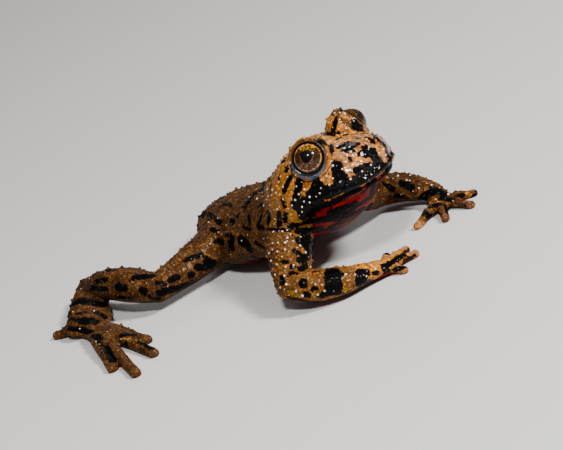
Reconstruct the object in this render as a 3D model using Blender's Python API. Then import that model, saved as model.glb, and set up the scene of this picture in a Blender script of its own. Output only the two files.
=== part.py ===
"""A fire bellied toad, life size: head raised, hands forward, hind legs spread on the floor.

The toad faces -Y, its left is +X and it rests on z = 0. Sizes are in millimetres from the
floor under the joint of the skull and the spine. Each finished part is scaled to metres, and
the whole is moved so that its origin lies under the middle of its box. The body is lofted and
swept whole, melted into one flesh, and then parted with thin cuts at the joints, the mouth
and the eyes.
"""
import math

import bmesh
import bpy
import numpy as np
from mathutils import Matrix, Vector

MM = 0.001
GAP = 0.3

# Flesh: grid of the melted body, its triangles, and the sides of the rings it is lofted from
VOXEL = 0.3
FLESH_TRIANGLES = 7400
RING_SIDES = 28
LIMB_SIDES = 16
DIGIT_SIDES = 10
ROD_SIDES = 36
CAP_RINGS = 4
CAP_TIP_SHARE = 0.35
ROUND = (2.0, 2.0)

# Head frame: x forward, y to the toad's left, z up, from the joint of skull and spine
NECK = Vector((0.0, 0.0, 10.9))
HEAD_YAW = math.radians(-82.2)
HEAD_PITCH = math.radians(20.0)
HEAD_ROLL = math.radians(0.0)

# Skull: station along the head, half width, height of the widest level, crown height, throat depth
SKULL = (
    (-4.0, 6.4, -0.6, 4.5, 5.4),
    (-1.0, 7.6, -0.6, 5.3, 6.2),
    (2.0, 8.0, -0.5, 6.1, 6.5),
    (5.0, 7.6, -0.5, 5.6, 6.0),
    (7.5, 6.8, -0.5, 4.6, 5.0),
    (9.6, 5.8, -0.5, 3.7, 3.9),
    (11.3, 4.7, -0.5, 3.0, 2.9),
    (12.5, 3.4, -0.4, 2.3, 2.1),
    (13.2, 2.0, -0.3, 1.5, 1.3),
    (13.5, 0.8, -0.2, 0.7, 0.8),
)
CROWN_POWER = 2.3
THROAT_POWER = 1.8

# Eye: ball, lid bulge round it, the opening between the lids and the swell of the cornea
EYE_CENTRE = (7.2, 4.4, 4.1)
EYE_AXIS = (0.62, 0.72, 0.33)
EYE_RADIUS = 2.4
EYE_PROUD = 0.25
LID_RADIUS = 3.0
LID_OPENING = 2.2
CORNEA_ANGLE = math.radians(52.0)
CORNEA_RISE = 0.22
BALL_SEGMENTS = 22
BALL_RINGS = 14

# Mouth: the line of the lips in side view, from the snout back to the angle of the jaw
MOUTH_LINE = (
    (15.0, -2.4),
    (12.4, -2.3),
    (10.0, -1.7),
    (7.0, -1.0),
    (5.4, -0.8),
    (4.1, -1.3),
    (3.1, -2.3),
    (2.3, -3.6),
    (0.5, -5.4),
)
MOUTH_REACH = 10.0
NECK_CUT_X = 0.9
NECK_CUT_SIZE = (17.6, 16.8)
NECK_CUT_Z = -0.9

# Lips: height of each above the mouth line and how far it lies inside the outline of the skull
LIPS = ((0.45, 0.4), (-0.45, 1.1))
LIP_RADIUS = 0.5
LIP_BACK_X = 3.0
LIP_TURN_X = 9.0
LIP_TIP_X = 13.0

NOSTRIL = (12.2, 1.7, 1.5)
NOSTRIL_RADIUS = 0.36

# Trunk: station towards the rear, bend to the left, half width, back height, belly height
TRUNK = (
    (-4.0, 0.0, 5.3, 12.9, 6.2),
    (0.0, -0.2, 6.9, 12.7, 4.8),
    (4.0, -0.1, 7.8, 11.6, 3.3),
    (8.0, 0.4, 8.5, 10.5, 1.8),
    (13.0, 1.1, 9.1, 9.5, 0.3),
    (17.5, 1.8, 8.7, 8.5, -0.45),
    (21.0, 2.3, 7.8, 7.7, -0.35),
    (24.5, 2.6, 6.2, 6.7, 0.2),
    (27.0, 2.8, 4.6, 5.8, 0.9),
    (28.7, 2.9, 2.6, 4.8, 1.8),
)
TRUNK_AXIS = 0.42
TRUNK_POWERS = (2.1, 2.3)

# Limbs: points along each length with the radius across and the radius up
LIMBS = {
    "right_upper_arm": (
        (-4.2, 2.0, 8.4, 3.3, 3.3),
        (-6.8, 0.2, 7.2, 3.2, 3.2),
        (-9.9, -2.2, 5.1, 2.8, 2.7),
        (-12.4, -4.3, 3.4, 2.3, 2.2),
    ),
    "right_forearm": (
        (-12.4, -4.3, 3.4, 2.3, 2.2),
        (-11.3, -6.9, 2.9, 2.4, 2.2),
        (-8.8, -9.5, 2.3, 2.1, 1.8),
        (-5.2, -11.0, 1.7, 1.5, 1.25),
    ),
    "left_upper_arm": (
        (4.2, 2.0, 8.2, 3.3, 3.2),
        (6.8, 1.2, 6.7, 2.9, 2.8),
        (10.6, 2.3, 4.1, 2.5, 2.4),
        (13.8, 3.1, 2.7, 2.2, 2.1),
    ),
    "left_forearm": (
        (13.8, 3.1, 2.7, 2.2, 2.1),
        (14.9, 1.2, 2.7, 2.3, 2.1),
        (15.7, -1.8, 2.3, 2.0, 1.7),
        (15.9, -4.5, 1.9, 1.5, 1.25),
    ),
    "right_thigh": (
        (-0.5, 17.4, 5.2, 3.2, 3.2),
        (-4.5, 17.8, 4.5, 3.1, 3.0),
        (-10.5, 18.6, 3.6, 2.7, 2.5),
        (-16.8, 19.2, 3.3, 2.0, 2.0),
    ),
    "right_shank": (
        (-16.8, 19.2, 3.3, 2.0, 2.0),
        (-17.8, 23.2, 4.0, 2.5, 2.4),
        (-18.1, 28.5, 3.9, 2.3, 2.2),
        (-17.8, 34.6, 2.5, 1.7, 1.6),
    ),
    "left_thigh": (
        (5.0, 17.4, 4.9, 3.2, 3.1),
        (8.6, 16.8, 4.6, 3.1, 2.9),
        (12.8, 15.2, 3.9, 2.7, 2.5),
        (17.0, 13.2, 2.9, 1.95, 1.95),
    ),
    "left_shank": (
        (17.0, 13.2, 2.9, 1.95, 1.95),
        (18.2, 16.8, 3.0, 2.5, 2.3),
        (18.4, 21.8, 2.7, 2.3, 2.0),
        (17.4, 27.2, 2.3, 1.6, 1.5),
    ),
}

# Hands: wrist, palm centre, then the finger tips from the inner to the outer
HANDS = {
    "right_hand": (
        (-5.2, -11.0, 1.7),
        (-2.8, -11.5, 1.1),
        ((0.6, -8.6), (2.7, -10.3), (1.9, -12.7), (-2.1, -14.2)),
    ),
    "left_hand": (
        (16.0, -4.4, 1.8),
        (14.8, -6.6, 1.1),
        ((8.8, -7.2), (11.2, -10.4), (15.2, -11.8), (18.4, -9.7)),
    ),
}
WRIST_RADII = (1.5, 1.25)
PALM_RADII = (1.7, 0.9)
FINGER_RADII = (0.85, 0.72, 0.64)
FINGER_ROOT = 0.12

# Feet: heel, ball of the foot, then the toe tips from the inner to the outer
FEET = {
    "right_foot": (
        (-17.8, 35.0, 2.2),
        (-24.4, 27.4, 1.3),
        ((-24.8, 14.1), (-27.3, 9.8), (-31.9, 8.3), (-31.8, 13.5), (-27.0, 32.2)),
    ),
    "left_foot": (
        (17.4, 27.6, 2.1),
        (24.2, 25.2, 1.3),
        ((22.4, 16.2), (26.0, 14.6), (29.0, 17.2), (31.6, 21.0), (29.6, 29.2)),
    ),
}
TARSUS_RADII = ((1.9, 1.5), (3.0, 1.4), (3.5, 1.05))
TOE_RADII = (1.12, 0.94, 0.8)
TOE_ROOT = 0.1
DIGIT_Z = 0.45
KNUCKLE_RISE = 0.15
DIGIT_DROP = 0.2
WEB_REACH = 0.6
WEB_DIP = 0.46
WEB_LOW = 0.3
WEB_HIGH = 1.0

# Cuts across the limbs: share of the length from the root, and the radius of the cut
ROOT_CUTS = {
    "right_upper_arm": (0.46, 4.2),
    "left_upper_arm": (0.53, 4.4),
    "right_thigh": (0.50, 4.4),
    "left_thigh": (0.56, 4.4),
}
BENDS = (
    ("right_upper_arm", "right_forearm"),
    ("left_upper_arm", "left_forearm"),
    ("right_thigh", "right_shank"),
    ("left_thigh", "left_shank"),
)
BEND_MARGIN = 1.5
HEEL_CUT_RADIUS = 2.6
WRIST_CUT_RADIUS = 2.1

FLOOR_DEPTH = 4.0
FLOOR_SPAN = 160.0

# Colours: the back, the throat and the eyes
BROWN = (0.42, 0.22, 0.08, 1.0)
DARK_BROWN = (0.30, 0.17, 0.07, 1.0)
RED = (0.55, 0.05, 0.03, 1.0)
COPPER = (0.45, 0.24, 0.07, 1.0)
SKIN_ROUGHNESS = 0.35
EYE_ROUGHNESS = 0.08
SHARP_ANGLE = math.radians(50.0)
SCRAP_SHARE = 0.02

# Distances under which points are merged after the cuts, and edges collapsed in the finished parts
WELD = 1e-4
SLIVER = 2e-4


def clear_scene():
    """Remove what the scene holds, so that the toad stands alone."""
    for item in list(bpy.data.objects):
        bpy.data.objects.remove(item, do_unlink=True)


def head_frame():
    """Matrix from head axes to world axes, in millimetres."""
    turn = (
        Matrix.Rotation(HEAD_YAW, 4, "Z")
        @ Matrix.Rotation(-HEAD_PITCH, 4, "Y")
        @ Matrix.Rotation(HEAD_ROLL, 4, "X")
    )
    return Matrix.Translation(NECK) @ turn


def spline(rows, steps):
    """Rows on a smooth curve through the given rows, with the same columns."""
    knots = np.array(rows, dtype=float)
    ends = np.vstack([2 * knots[0] - knots[1], knots, 2 * knots[-1] - knots[-2]])
    out = []
    for start in range(len(knots) - 1):
        before, here, there, after = ends[start:start + 4]
        for step in range(steps):
            t = step / steps
            bend = 2 * before - 5 * here + 4 * there - after
            twist = -before + 3 * here - 3 * there + after
            out.append(0.5 * (2 * here + (there - before) * t + bend * t ** 2 + twist * t ** 3))
    out.append(knots[-1])
    return np.array(out)


def oval(angle, half_width, top, bottom, powers):
    """Point of a superellipse whose upper and lower halves have their own height and power."""
    height, power = (top, powers[0]) if math.sin(angle) > 0 else (bottom, powers[1])
    across = math.copysign(abs(math.cos(angle)) ** (2 / power), math.cos(angle))
    rise = math.copysign(abs(math.sin(angle)) ** (2 / power), math.sin(angle))
    return half_width * across, height * rise


def loft(rings, sides):
    """Closed shape through rings of (centre, side, up, half width, top, bottom, powers)."""
    shape = bmesh.new()
    spoke = shape.verts.layers.int.new("spoke")
    bmesh.ops.create_circle(shape, cap_ends=True, segments=sides, radius=1.0)
    for index, vertex in enumerate(shape.verts):
        vertex[spoke] = index
    cap = shape.faces[:]
    for count, (centre, side, up, half_width, top, bottom, powers) in enumerate(rings):
        if count:
            raised = bmesh.ops.extrude_face_region(shape, geom=cap)
            cap = [item for item in raised["geom"] if isinstance(item, bmesh.types.BMFace)]
        for vertex in {corner for face in cap for corner in face.verts}:
            angle = math.tau * vertex[spoke] / sides
            across, rise = oval(angle, half_width, top, bottom, powers)
            vertex.co = centre + side * across + up * rise
    bmesh.ops.recalc_face_normals(shape, faces=shape.faces)
    return shape


def skull():
    """Head from behind the jaw to the snout."""
    frame = head_frame()
    side = frame.to_3x3() @ Vector((0, 1, 0))
    up = frame.to_3x3() @ Vector((0, 0, 1))
    powers = (CROWN_POWER, THROAT_POWER)
    rings = []
    for x, half_width, widest, crown, throat in spline(SKULL, 3):
        centre = frame @ Vector((x, 0, widest))
        rings.append((centre, side, up, half_width, crown - widest, throat + widest, powers))
    return loft(rings, RING_SIDES)


def trunk():
    """Body from the shoulders to the vent."""
    side = Vector((1, 0, 0))
    up = Vector((0, 0, 1))
    rings = []
    for y, bend, half_width, back, belly in spline(TRUNK, 3):
        middle = belly + TRUNK_AXIS * (back - belly)
        centre = Vector((bend, y, middle))
        rings.append((centre, side, up, half_width, back - middle, middle - belly, TRUNK_POWERS))
    return loft(rings, RING_SIDES)


def end_rings(point, out, side, up, wide, high):
    """Rings of a round end, from the full section outwards."""
    rings = []
    for count in range(1, CAP_RINGS + 1):
        angle = 0.5 * math.pi * count / (CAP_RINGS + CAP_TIP_SHARE)
        shrink = math.cos(angle)
        centre = point + out * (0.5 * (wide + high) * math.sin(angle))
        rings.append((centre, side, up, wide * shrink, high * shrink, high * shrink, ROUND))
    return rings


def tube(rows, sides=LIMB_SIDES, steps=4):
    """Round-ended length of flesh along rows of (x, y, z, radius across, radius up)."""
    path = spline(rows, steps)
    points = [Vector(row[:3]) for row in path]
    last = len(points) - 1
    rings = []
    for index, point in enumerate(points):
        ahead = (points[min(index + 1, last)] - points[max(index - 1, 0)]).normalized()
        side = ahead.cross(Vector((0, 0, 1))).normalized()
        up = side.cross(ahead)
        wide, high = path[index][3:5]
        if index == 0:
            rings += end_rings(point, -ahead, side, up, wide, high)[::-1]
        rings.append((point, side, up, wide, high, high, ROUND))
        if index == last:
            rings += end_rings(point, ahead, side, up, wide, high)
    return loft(rings, sides)


def digit(base, tip, radii):
    """Finger or toe from its base to a tip on the floor, with a low knuckle."""
    start = Vector(base)
    end = Vector((*tip, DIGIT_Z))
    root, knuckle, point = radii
    middle = start.lerp(end, 0.5)
    middle.z += KNUCKLE_RISE
    near = start.lerp(end, 0.85)
    near.z = DIGIT_Z
    rows = (
        (*start, root, 0.9 * root),
        (*middle, knuckle, 0.9 * knuckle),
        (*near, 0.95 * point, 0.9 * point),
        (*end, point, 0.9 * point),
    )
    return tube(rows, sides=DIGIT_SIDES, steps=2)


def web(base, first_tip, second_tip):
    """Skin between two toes, with a hollowed free edge."""
    root = Vector((base[0], base[1], WEB_LOW))
    first = Vector((*first_tip, WEB_LOW))
    second = Vector((*second_tip, WEB_LOW))
    corners = (
        root,
        root.lerp(first, WEB_REACH),
        root.lerp(first.lerp(second, 0.5), WEB_DIP),
        root.lerp(second, WEB_REACH),
    )
    shape = bmesh.new()
    face = shape.faces.new([shape.verts.new(corner) for corner in corners])
    raised = bmesh.ops.extrude_face_region(shape, geom=[face])
    tops = [item for item in raised["geom"] if isinstance(item, bmesh.types.BMVert)]
    bmesh.ops.translate(shape, verts=tops, vec=(0, 0, WEB_HIGH - WEB_LOW))
    bmesh.ops.recalc_face_normals(shape, faces=shape.faces)
    return shape


def digit_root(start, tip, share):
    """Place in the palm or sole where a digit begins."""
    root = Vector(start).lerp(Vector((*tip, start[2])), share)
    root.z -= DIGIT_DROP
    return root


def hand(wrist, palm, tips):
    """Palm and four fingers."""
    pieces = [tube(((*wrist, *WRIST_RADII), (*palm, *PALM_RADII)))]
    for tip in tips:
        pieces.append(digit(digit_root(palm, tip, FINGER_ROOT), tip, FINGER_RADII))
    return pieces


def foot(heel, sole, tips):
    """Ankle, sole and five webbed toes."""
    middle = Vector(heel).lerp(Vector(sole), 0.5)
    stations = zip((heel, middle, sole), TARSUS_RADII)
    pieces = [tube([(*point, *radii) for point, radii in stations])]
    for tip in tips:
        pieces.append(digit(digit_root(sole, tip, TOE_ROOT), tip, TOE_RADII))
    for first, second in zip(tips, tips[1:]):
        pieces.append(web(sole, first, second))
    return pieces


def ball(centre, radius):
    """Sphere round a centre."""
    shape = bmesh.new()
    bmesh.ops.create_uvsphere(
        shape, u_segments=BALL_SEGMENTS, v_segments=BALL_RINGS, radius=radius
    )
    bmesh.ops.translate(shape, verts=shape.verts, vec=centre)
    return shape


def eye_pose(side):
    """Matrix of an eye, whose +Z looks out of the head; side is +1 on the left, -1 on the right."""
    frame = head_frame()
    x, y, z = EYE_CENTRE
    ahead, out, up = EYE_AXIS
    look = (frame.to_3x3() @ Vector((ahead, side * out, up))).normalized()
    crown = frame.to_3x3() @ Vector((0, 0, 1))
    across = crown.cross(look).normalized()
    axes = Matrix((across, look.cross(across), look)).transposed().to_4x4()
    return Matrix.Translation(frame @ Vector((x, side * y, z))) @ axes


def eyeball(side):
    """Ball of an eye, a little proud of the lids' centre, with the low swell of its cornea."""
    shape = ball((0, 0, 0), EYE_RADIUS)
    for vertex in shape.verts:
        angle = vertex.co.angle(Vector((0, 0, 1)))
        if angle < CORNEA_ANGLE:
            swell = (1 - (angle / CORNEA_ANGLE) ** 2) ** 2
            vertex.co *= 1 + CORNEA_RISE * swell / EYE_RADIUS
    bmesh.ops.translate(shape, verts=shape.verts, vec=(0, 0, EYE_PROUD))
    bmesh.ops.transform(shape, matrix=eye_pose(side), verts=shape.verts)
    return shape


def lip(rise, inset):
    """Low rim along the mouth line, from the left jaw round the snout to the right jaw."""
    frame = head_frame()
    line = spline(MOUTH_LINE, 3)[::-1]
    left = []
    for x, half_width, *_ in spline(SKULL, 3):
        if x > LIP_BACK_X:
            forward = max(0.0, (x - LIP_TURN_X) / (LIP_TIP_X - LIP_TURN_X))
            left.append((x - inset * forward, max(0.0, half_width - inset)))
    right = [(x, -y) for x, y in left[::-1]]
    rows = []
    for x, y in [*left, (LIP_TIP_X - inset, 0.0), *right]:
        z = float(np.interp(x, line[:, 0], line[:, 1])) + rise
        rows.append((*(frame @ Vector((x, y, z))), LIP_RADIUS, LIP_RADIUS))
    return tube(rows, sides=DIGIT_SIDES, steps=1)


def placed(name, shape):
    """Object that holds a shape, linked to the scene."""
    mesh = bpy.data.meshes.new(name)
    shape.to_mesh(mesh)
    shape.free()
    item = bpy.data.objects.new(name, mesh)
    bpy.context.scene.collection.objects.link(item)
    return item


def joined(name, shapes):
    """Object that holds all the given shapes, still overlapping."""
    whole = bmesh.new()
    for shape in shapes:
        scratch = bpy.data.meshes.new("scratch")
        shape.to_mesh(scratch)
        shape.free()
        whole.from_mesh(scratch)
        bpy.data.meshes.remove(scratch)
    return placed(name, whole)


def settle(item):
    """Apply the object's modifiers."""
    depsgraph = bpy.context.evaluated_depsgraph_get()
    depsgraph.update()
    mesh = bpy.data.meshes.new_from_object(item.evaluated_get(depsgraph))
    item.modifiers.clear()
    item.data = mesh


def melted_body():
    """Head, trunk, limbs, lids and lips melted into one closed skin, then thinned."""
    shapes = [skull(), trunk(), *(lip(*spec) for spec in LIPS)]
    shapes += [ball(eye_pose(side).translation, LID_RADIUS) for side in (-1, 1)]
    shapes += [tube(rows) for rows in LIMBS.values()]
    for spec in HANDS.values():
        shapes += hand(*spec)
    for spec in FEET.values():
        shapes += foot(*spec)
    body = joined("flesh", shapes)
    melt = body.modifiers.new("melt", "REMESH")
    melt.mode = "VOXEL"
    melt.voxel_size = VOXEL
    smooth = body.modifiers.new("smooth", "SMOOTH")
    smooth.factor = 0.5
    smooth.iterations = 2
    settle(body)
    thin = body.modifiers.new("thin", "DECIMATE")
    thin.ratio = FLESH_TRIANGLES / (2 * len(body.data.polygons))
    settle(body)
    return body


def box(matrix, size):
    """Cuboid of a size, centred on a matrix."""
    shape = bmesh.new()
    bmesh.ops.create_cube(shape, size=1.0)
    bmesh.ops.scale(shape, verts=shape.verts, vec=size)
    bmesh.ops.transform(shape, matrix=matrix, verts=shape.verts)
    return shape


def mouth_cutter():
    """Thin bent sheet through the head along the line of the lips."""
    shape = bmesh.new()
    rows = [(x, -MOUTH_REACH, z - GAP / 2) for x, z in spline(MOUTH_LINE, 3)]
    line = [shape.verts.new(row) for row in rows]
    edges = [shape.edges.new(pair) for pair in zip(line, line[1:])]
    strip = bmesh.ops.extrude_edge_only(shape, edges=edges)
    upper = [item for item in strip["geom"] if isinstance(item, bmesh.types.BMVert)]
    bmesh.ops.translate(shape, verts=upper, vec=(0, 0, GAP))
    sheet = bmesh.ops.extrude_face_region(shape, geom=shape.faces[:])
    far_side = [item for item in sheet["geom"] if isinstance(item, bmesh.types.BMVert)]
    bmesh.ops.translate(shape, verts=far_side, vec=(0, 2 * MOUTH_REACH, 0))
    bmesh.ops.transform(shape, matrix=head_frame(), verts=shape.verts)
    bmesh.ops.recalc_face_normals(shape, faces=shape.faces)
    return shape


def neck_cutter():
    """Thin sheet across the neck, just behind the angle of the jaw."""
    wide, high = NECK_CUT_SIZE
    place = head_frame() @ Matrix.Translation((NECK_CUT_X, 0, NECK_CUT_Z))
    return box(place, (GAP, wide, high))


def rod(matrix, radius, depth):
    """Cylinder along a matrix's Z, centred on it."""
    shape = bmesh.new()
    bmesh.ops.create_cone(
        shape, cap_ends=True, segments=ROD_SIDES, radius1=radius, radius2=radius, depth=depth
    )
    bmesh.ops.transform(shape, matrix=matrix, verts=shape.verts)
    return shape


def disc(centre, along, radius):
    """Thin round sheet across a limb."""
    turn = Vector((0, 0, 1)).rotation_difference(Vector(along)).to_matrix().to_4x4()
    return rod(Matrix.Translation(centre) @ turn, radius, GAP)


def bend_disc(before, joint, after, radius):
    """Sheet that halves the bend of a limb, from its outside to the crotch inside it."""
    inflow = (Vector(joint) - Vector(before)).normalized()
    outflow = (Vector(after) - Vector(joint)).normalized()
    half_angle = 0.5 * (math.pi - inflow.angle(outflow))
    inner = radius / math.sin(half_angle) + BEND_MARGIN
    outer = radius + BEND_MARGIN
    inward = (outflow - inflow).normalized()
    centre = Vector(joint) + inward * 0.5 * (inner - outer)
    return disc(centre, inflow + outflow, 0.5 * (inner + outer))


def limb_cutters():
    """Sheets at the shoulders, elbows, wrists, hips, knees and heels."""
    sheets = []
    for name, (share, radius) in ROOT_CUTS.items():
        start = Vector(LIMBS[name][0][:3])
        end = Vector(LIMBS[name][-1][:3])
        sheets.append(disc(start.lerp(end, share), end - start, radius))
    for upper, lower in BENDS:
        before, joint, after = LIMBS[upper][-2], LIMBS[lower][0], LIMBS[lower][1]
        sheets.append(bend_disc(before[:3], joint[:3], after[:3], joint[3]))
    for wrist, palm, _ in HANDS.values():
        sheets.append(disc(wrist, Vector(palm) - Vector(wrist), WRIST_CUT_RADIUS))
    for side in ("right", "left"):
        before = LIMBS[f"{side}_shank"][-2]
        heel, sole, _ = FEET[f"{side}_foot"]
        sheets.append(bend_disc(before[:3], heel, sole, HEEL_CUT_RADIUS))
    return sheets


def eye_cutters(side):
    """Socket round one eyeball, and the opening between its lids."""
    pose = eye_pose(side)
    opening = pose @ Matrix.Translation((0, 0, LID_RADIUS))
    socket = ball(pose @ Vector((0, 0, EYE_PROUD)), EYE_RADIUS + GAP)
    return [socket, rod(opening, LID_OPENING, 2 * LID_RADIUS)]


def nostril_cutter(body, side):
    """Pit of one nostril, centred on the skin."""
    x, y, z = NOSTRIL
    near = head_frame() @ Vector((x, side * y, z))
    _, skin, _, _ = body.closest_point_on_mesh(near)
    return ball(skin, NOSTRIL_RADIUS)


def floor_cutter():
    """Block under the floor, which leaves small flats on all that rests there."""
    place = Matrix.Translation((0, 0, -FLOOR_DEPTH / 2))
    return box(place, (FLOOR_SPAN, FLOOR_SPAN, FLOOR_DEPTH))


def cut(body):
    """Part the body with all its cutters."""
    shapes = [floor_cutter(), mouth_cutter(), neck_cutter(), *limb_cutters()]
    for side in (-1, 1):
        shapes += [*eye_cutters(side), nostril_cutter(body, side)]
    knives = bpy.data.collections.new("knives")
    bpy.context.scene.collection.children.link(knives)
    for index, shape in enumerate(shapes):
        knife = placed(f"knife_{index}", shape)
        knife.hide_render = True
        knife.display_type = "WIRE"
        knives.objects.link(knife)
    parting = body.modifiers.new("parting", "BOOLEAN")
    parting.operation = "DIFFERENCE"
    parting.operand_type = "COLLECTION"
    parting.collection = knives
    parting.solver = "EXACT"
    settle(body)
    for knife in list(knives.objects):
        bpy.data.objects.remove(knife, do_unlink=True)
    bpy.data.collections.remove(knives)


def islands(mesh):
    """Separate closed surfaces of a mesh, largest first, each as its own shape."""
    whole = bmesh.new()
    whole.from_mesh(mesh)
    bmesh.ops.remove_doubles(whole, verts=whole.verts, dist=WELD)
    waiting = set(whole.verts)
    groups = []
    while waiting:
        group = set()
        edge = [waiting.pop()]
        while edge:
            vertex = edge.pop()
            group.add(vertex.index)
            for link in vertex.link_edges:
                other = link.other_vert(vertex)
                if other in waiting:
                    waiting.remove(other)
                    edge.append(other)
        groups.append(group)
    shapes = []
    for group in sorted(groups, key=len, reverse=True):
        shape = whole.copy()
        extra = [vertex for vertex in shape.verts if vertex.index not in group]
        bmesh.ops.delete(shape, geom=extra, context="VERTS")
        shapes.append(shape)
    whole.free()
    for shape in shapes:
        bmesh.ops.recalc_face_normals(shape, faces=shape.faces)
    return shapes


def part_centres():
    """Rough middle of each part of the flesh, by name."""
    frame = head_frame()
    centres = {
        "head": frame @ Vector((6.5, 0.0, 1.5)),
        "lower_jaw": frame @ Vector((6.5, 0.0, -3.5)),
        "torso": Vector((1.5, 12.0, 6.5)),
    }
    for name, rows in LIMBS.items():
        centres[name] = Vector(rows[1][:3]).lerp(Vector(rows[-1][:3]), 0.5)
    for name, (_, palm, _) in HANDS.items():
        centres[name] = Vector(palm)
    for name, (_, sole, _) in FEET.items():
        centres[name] = Vector(sole)
    return centres


def part_origins():
    """Joint from which each part grows, by name."""
    origins = {"head": NECK, "lower_jaw": NECK, "torso": Vector((0, 0, 0))}
    for name, rows in LIMBS.items():
        origins[name] = Vector(rows[0][:3])
    for name, spec in (*HANDS.items(), *FEET.items()):
        origins[name] = Vector(spec[0])
    return origins


def coated(name, colour, roughness):
    """Material of one part."""
    material = bpy.data.materials.new(name)
    material.use_nodes = True
    surface = material.node_tree.nodes["Principled BSDF"]
    surface.inputs["Base Color"].default_value = colour
    surface.inputs["Roughness"].default_value = roughness
    surface.inputs["Metallic"].default_value = 0.0
    return material


def finish(name, shape, origin, colour, roughness, root):
    """Object of one part in metres, with its origin on its joint."""
    bmesh.ops.triangulate(shape, faces=shape.faces)
    bmesh.ops.dissolve_degenerate(shape, edges=shape.edges, dist=SLIVER)
    bmesh.ops.triangulate(shape, faces=shape.faces)
    bmesh.ops.translate(shape, verts=shape.verts, vec=-origin)
    bmesh.ops.scale(shape, verts=shape.verts, vec=(MM, MM, MM))
    item = placed(name, shape)
    item.location = origin * MM
    item.parent = root
    item.data.shade_smooth()
    item.data.set_sharp_from_angle(angle=SHARP_ANGLE)
    item.data.materials.append(coated(name, colour, roughness))
    return item


def centre_over_origin(root, items):
    """Move the root so that the origin lies on the floor under the middle of the box."""
    points = np.array([vertex.co + item.location for item in items for vertex in item.data.vertices])
    middle = 0.5 * (points.min(axis=0) + points.max(axis=0))
    root.location = (-middle[0], -middle[1], 0.0)


def main():
    """Build every part of the toad."""
    clear_scene()
    body = melted_body()
    cut(body)
    shapes = islands(body.data)
    bpy.data.objects.remove(body, do_unlink=True)
    root = bpy.data.objects.new("toad", None)
    bpy.context.scene.collection.objects.link(root)
    colours = {"lower_jaw": RED, "head": BROWN, "torso": BROWN}
    origins = part_origins()
    centres = part_centres()
    largest = len(shapes[0].verts)
    items = []
    for shape in shapes:
        middle = sum((vertex.co for vertex in shape.verts), Vector()) / len(shape.verts)
        if len(shape.verts) < SCRAP_SHARE * largest:
            shape.free()
            continue
        name = min(centres, key=lambda key: (centres[key] - middle).length)
        del centres[name]
        colour = colours.get(name, DARK_BROWN)
        items.append(finish(name, shape, origins[name], colour, SKIN_ROUGHNESS, root))
    for name, side in (("right_eye", -1), ("left_eye", 1)):
        centre = eye_pose(side).translation
        items.append(finish(name, eyeball(side), centre, COPPER, EYE_ROUGHNESS, root))
    centre_over_origin(root, items)


main()
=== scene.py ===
"""Looks of a life-size fire bellied toad: one wet, warty skin, two eyes and their lids.

Body sizes are in millimetres from the floor under the joint of the skull and the spine, as the
toad faces -Y with its left at +X. Finished meshes are in metres, in the frame's own place.
A field whose name ends in edge holds the two values between which a share goes from 0 to 1.
"""
import enum
import logging
import math
from dataclasses import dataclass, field

import bmesh
import bpy
import numpy as np
from bmesh.types import BMesh, BMFace, BMVert
from bpy.types import Material, Mesh, NodeSocket, Object
from mathutils import Matrix, Vector, noise
from mathutils.bvhtree import BVHTree
from mathutils.kdtree import KDTree


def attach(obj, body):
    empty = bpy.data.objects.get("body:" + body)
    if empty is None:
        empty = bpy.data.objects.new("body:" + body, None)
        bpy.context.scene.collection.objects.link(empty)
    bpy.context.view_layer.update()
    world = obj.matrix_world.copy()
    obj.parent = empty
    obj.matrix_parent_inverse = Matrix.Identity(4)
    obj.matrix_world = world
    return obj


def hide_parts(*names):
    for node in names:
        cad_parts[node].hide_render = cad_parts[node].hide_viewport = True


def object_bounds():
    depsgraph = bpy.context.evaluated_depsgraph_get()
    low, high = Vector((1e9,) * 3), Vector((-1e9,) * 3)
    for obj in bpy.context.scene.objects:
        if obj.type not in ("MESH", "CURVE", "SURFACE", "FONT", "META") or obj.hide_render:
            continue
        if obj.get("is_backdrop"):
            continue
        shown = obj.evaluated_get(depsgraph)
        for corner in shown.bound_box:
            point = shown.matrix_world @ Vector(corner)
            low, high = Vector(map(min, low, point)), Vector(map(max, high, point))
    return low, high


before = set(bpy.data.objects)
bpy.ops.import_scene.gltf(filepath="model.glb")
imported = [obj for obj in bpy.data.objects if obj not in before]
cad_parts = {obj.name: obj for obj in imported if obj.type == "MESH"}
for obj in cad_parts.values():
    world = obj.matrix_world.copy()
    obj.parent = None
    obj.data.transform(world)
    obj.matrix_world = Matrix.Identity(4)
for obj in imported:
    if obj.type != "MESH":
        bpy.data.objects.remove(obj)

MM = 0.001
PHOTO_WIDTH = 563
PHOTO_HEIGHT = 450
LIMB_PARTS = ("upper_arm", "forearm", "hand", "thigh", "shank", "foot")
LIMB_NODES = [f"{side}_{part}" for side in ("right", "left") for part in LIMB_PARTS]
FLESH_NODES = ("head", "lower_jaw", "torso", *LIMB_NODES)
UP = Vector((0, 0, 1))
TINY = 1e-9
ROOM_SPREAD = (0.7, 1.3)

log = logging.getLogger("toad")


class Side(enum.Enum):
    """Which side of the toad a thing is on; the value is the sign of its x."""

    RIGHT = -1
    LEFT = 1


class Region(enum.Enum):
    """Which part of the skin a mark or a wart lies on."""

    HEAD = "head"
    BODY = "body"


def spline(rows: tuple, steps: int) -> np.ndarray:
    """Rows on a smooth curve through the given rows.

    Args:
        rows: Rows of numbers, all of one length.
        steps: How many rows each span is divided into.

    Returns:
        The finer rows, with the same columns.
    """
    knots = np.array(rows, dtype=float)
    ends = np.vstack([2 * knots[0] - knots[1], knots, 2 * knots[-1] - knots[-2]])
    out = []
    for start in range(len(knots) - 1):
        before, here, there, after = ends[start:start + 4]
        for step in range(steps):
            t = step / steps
            bend = 2 * before - 5 * here + 4 * there - after
            twist = -before + 3 * here - 3 * there + after
            out.append(0.5 * (2 * here + (there - before) * t + bend * t ** 2 + twist * t ** 3))
    out.append(knots[-1])
    return np.array(out)


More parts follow.
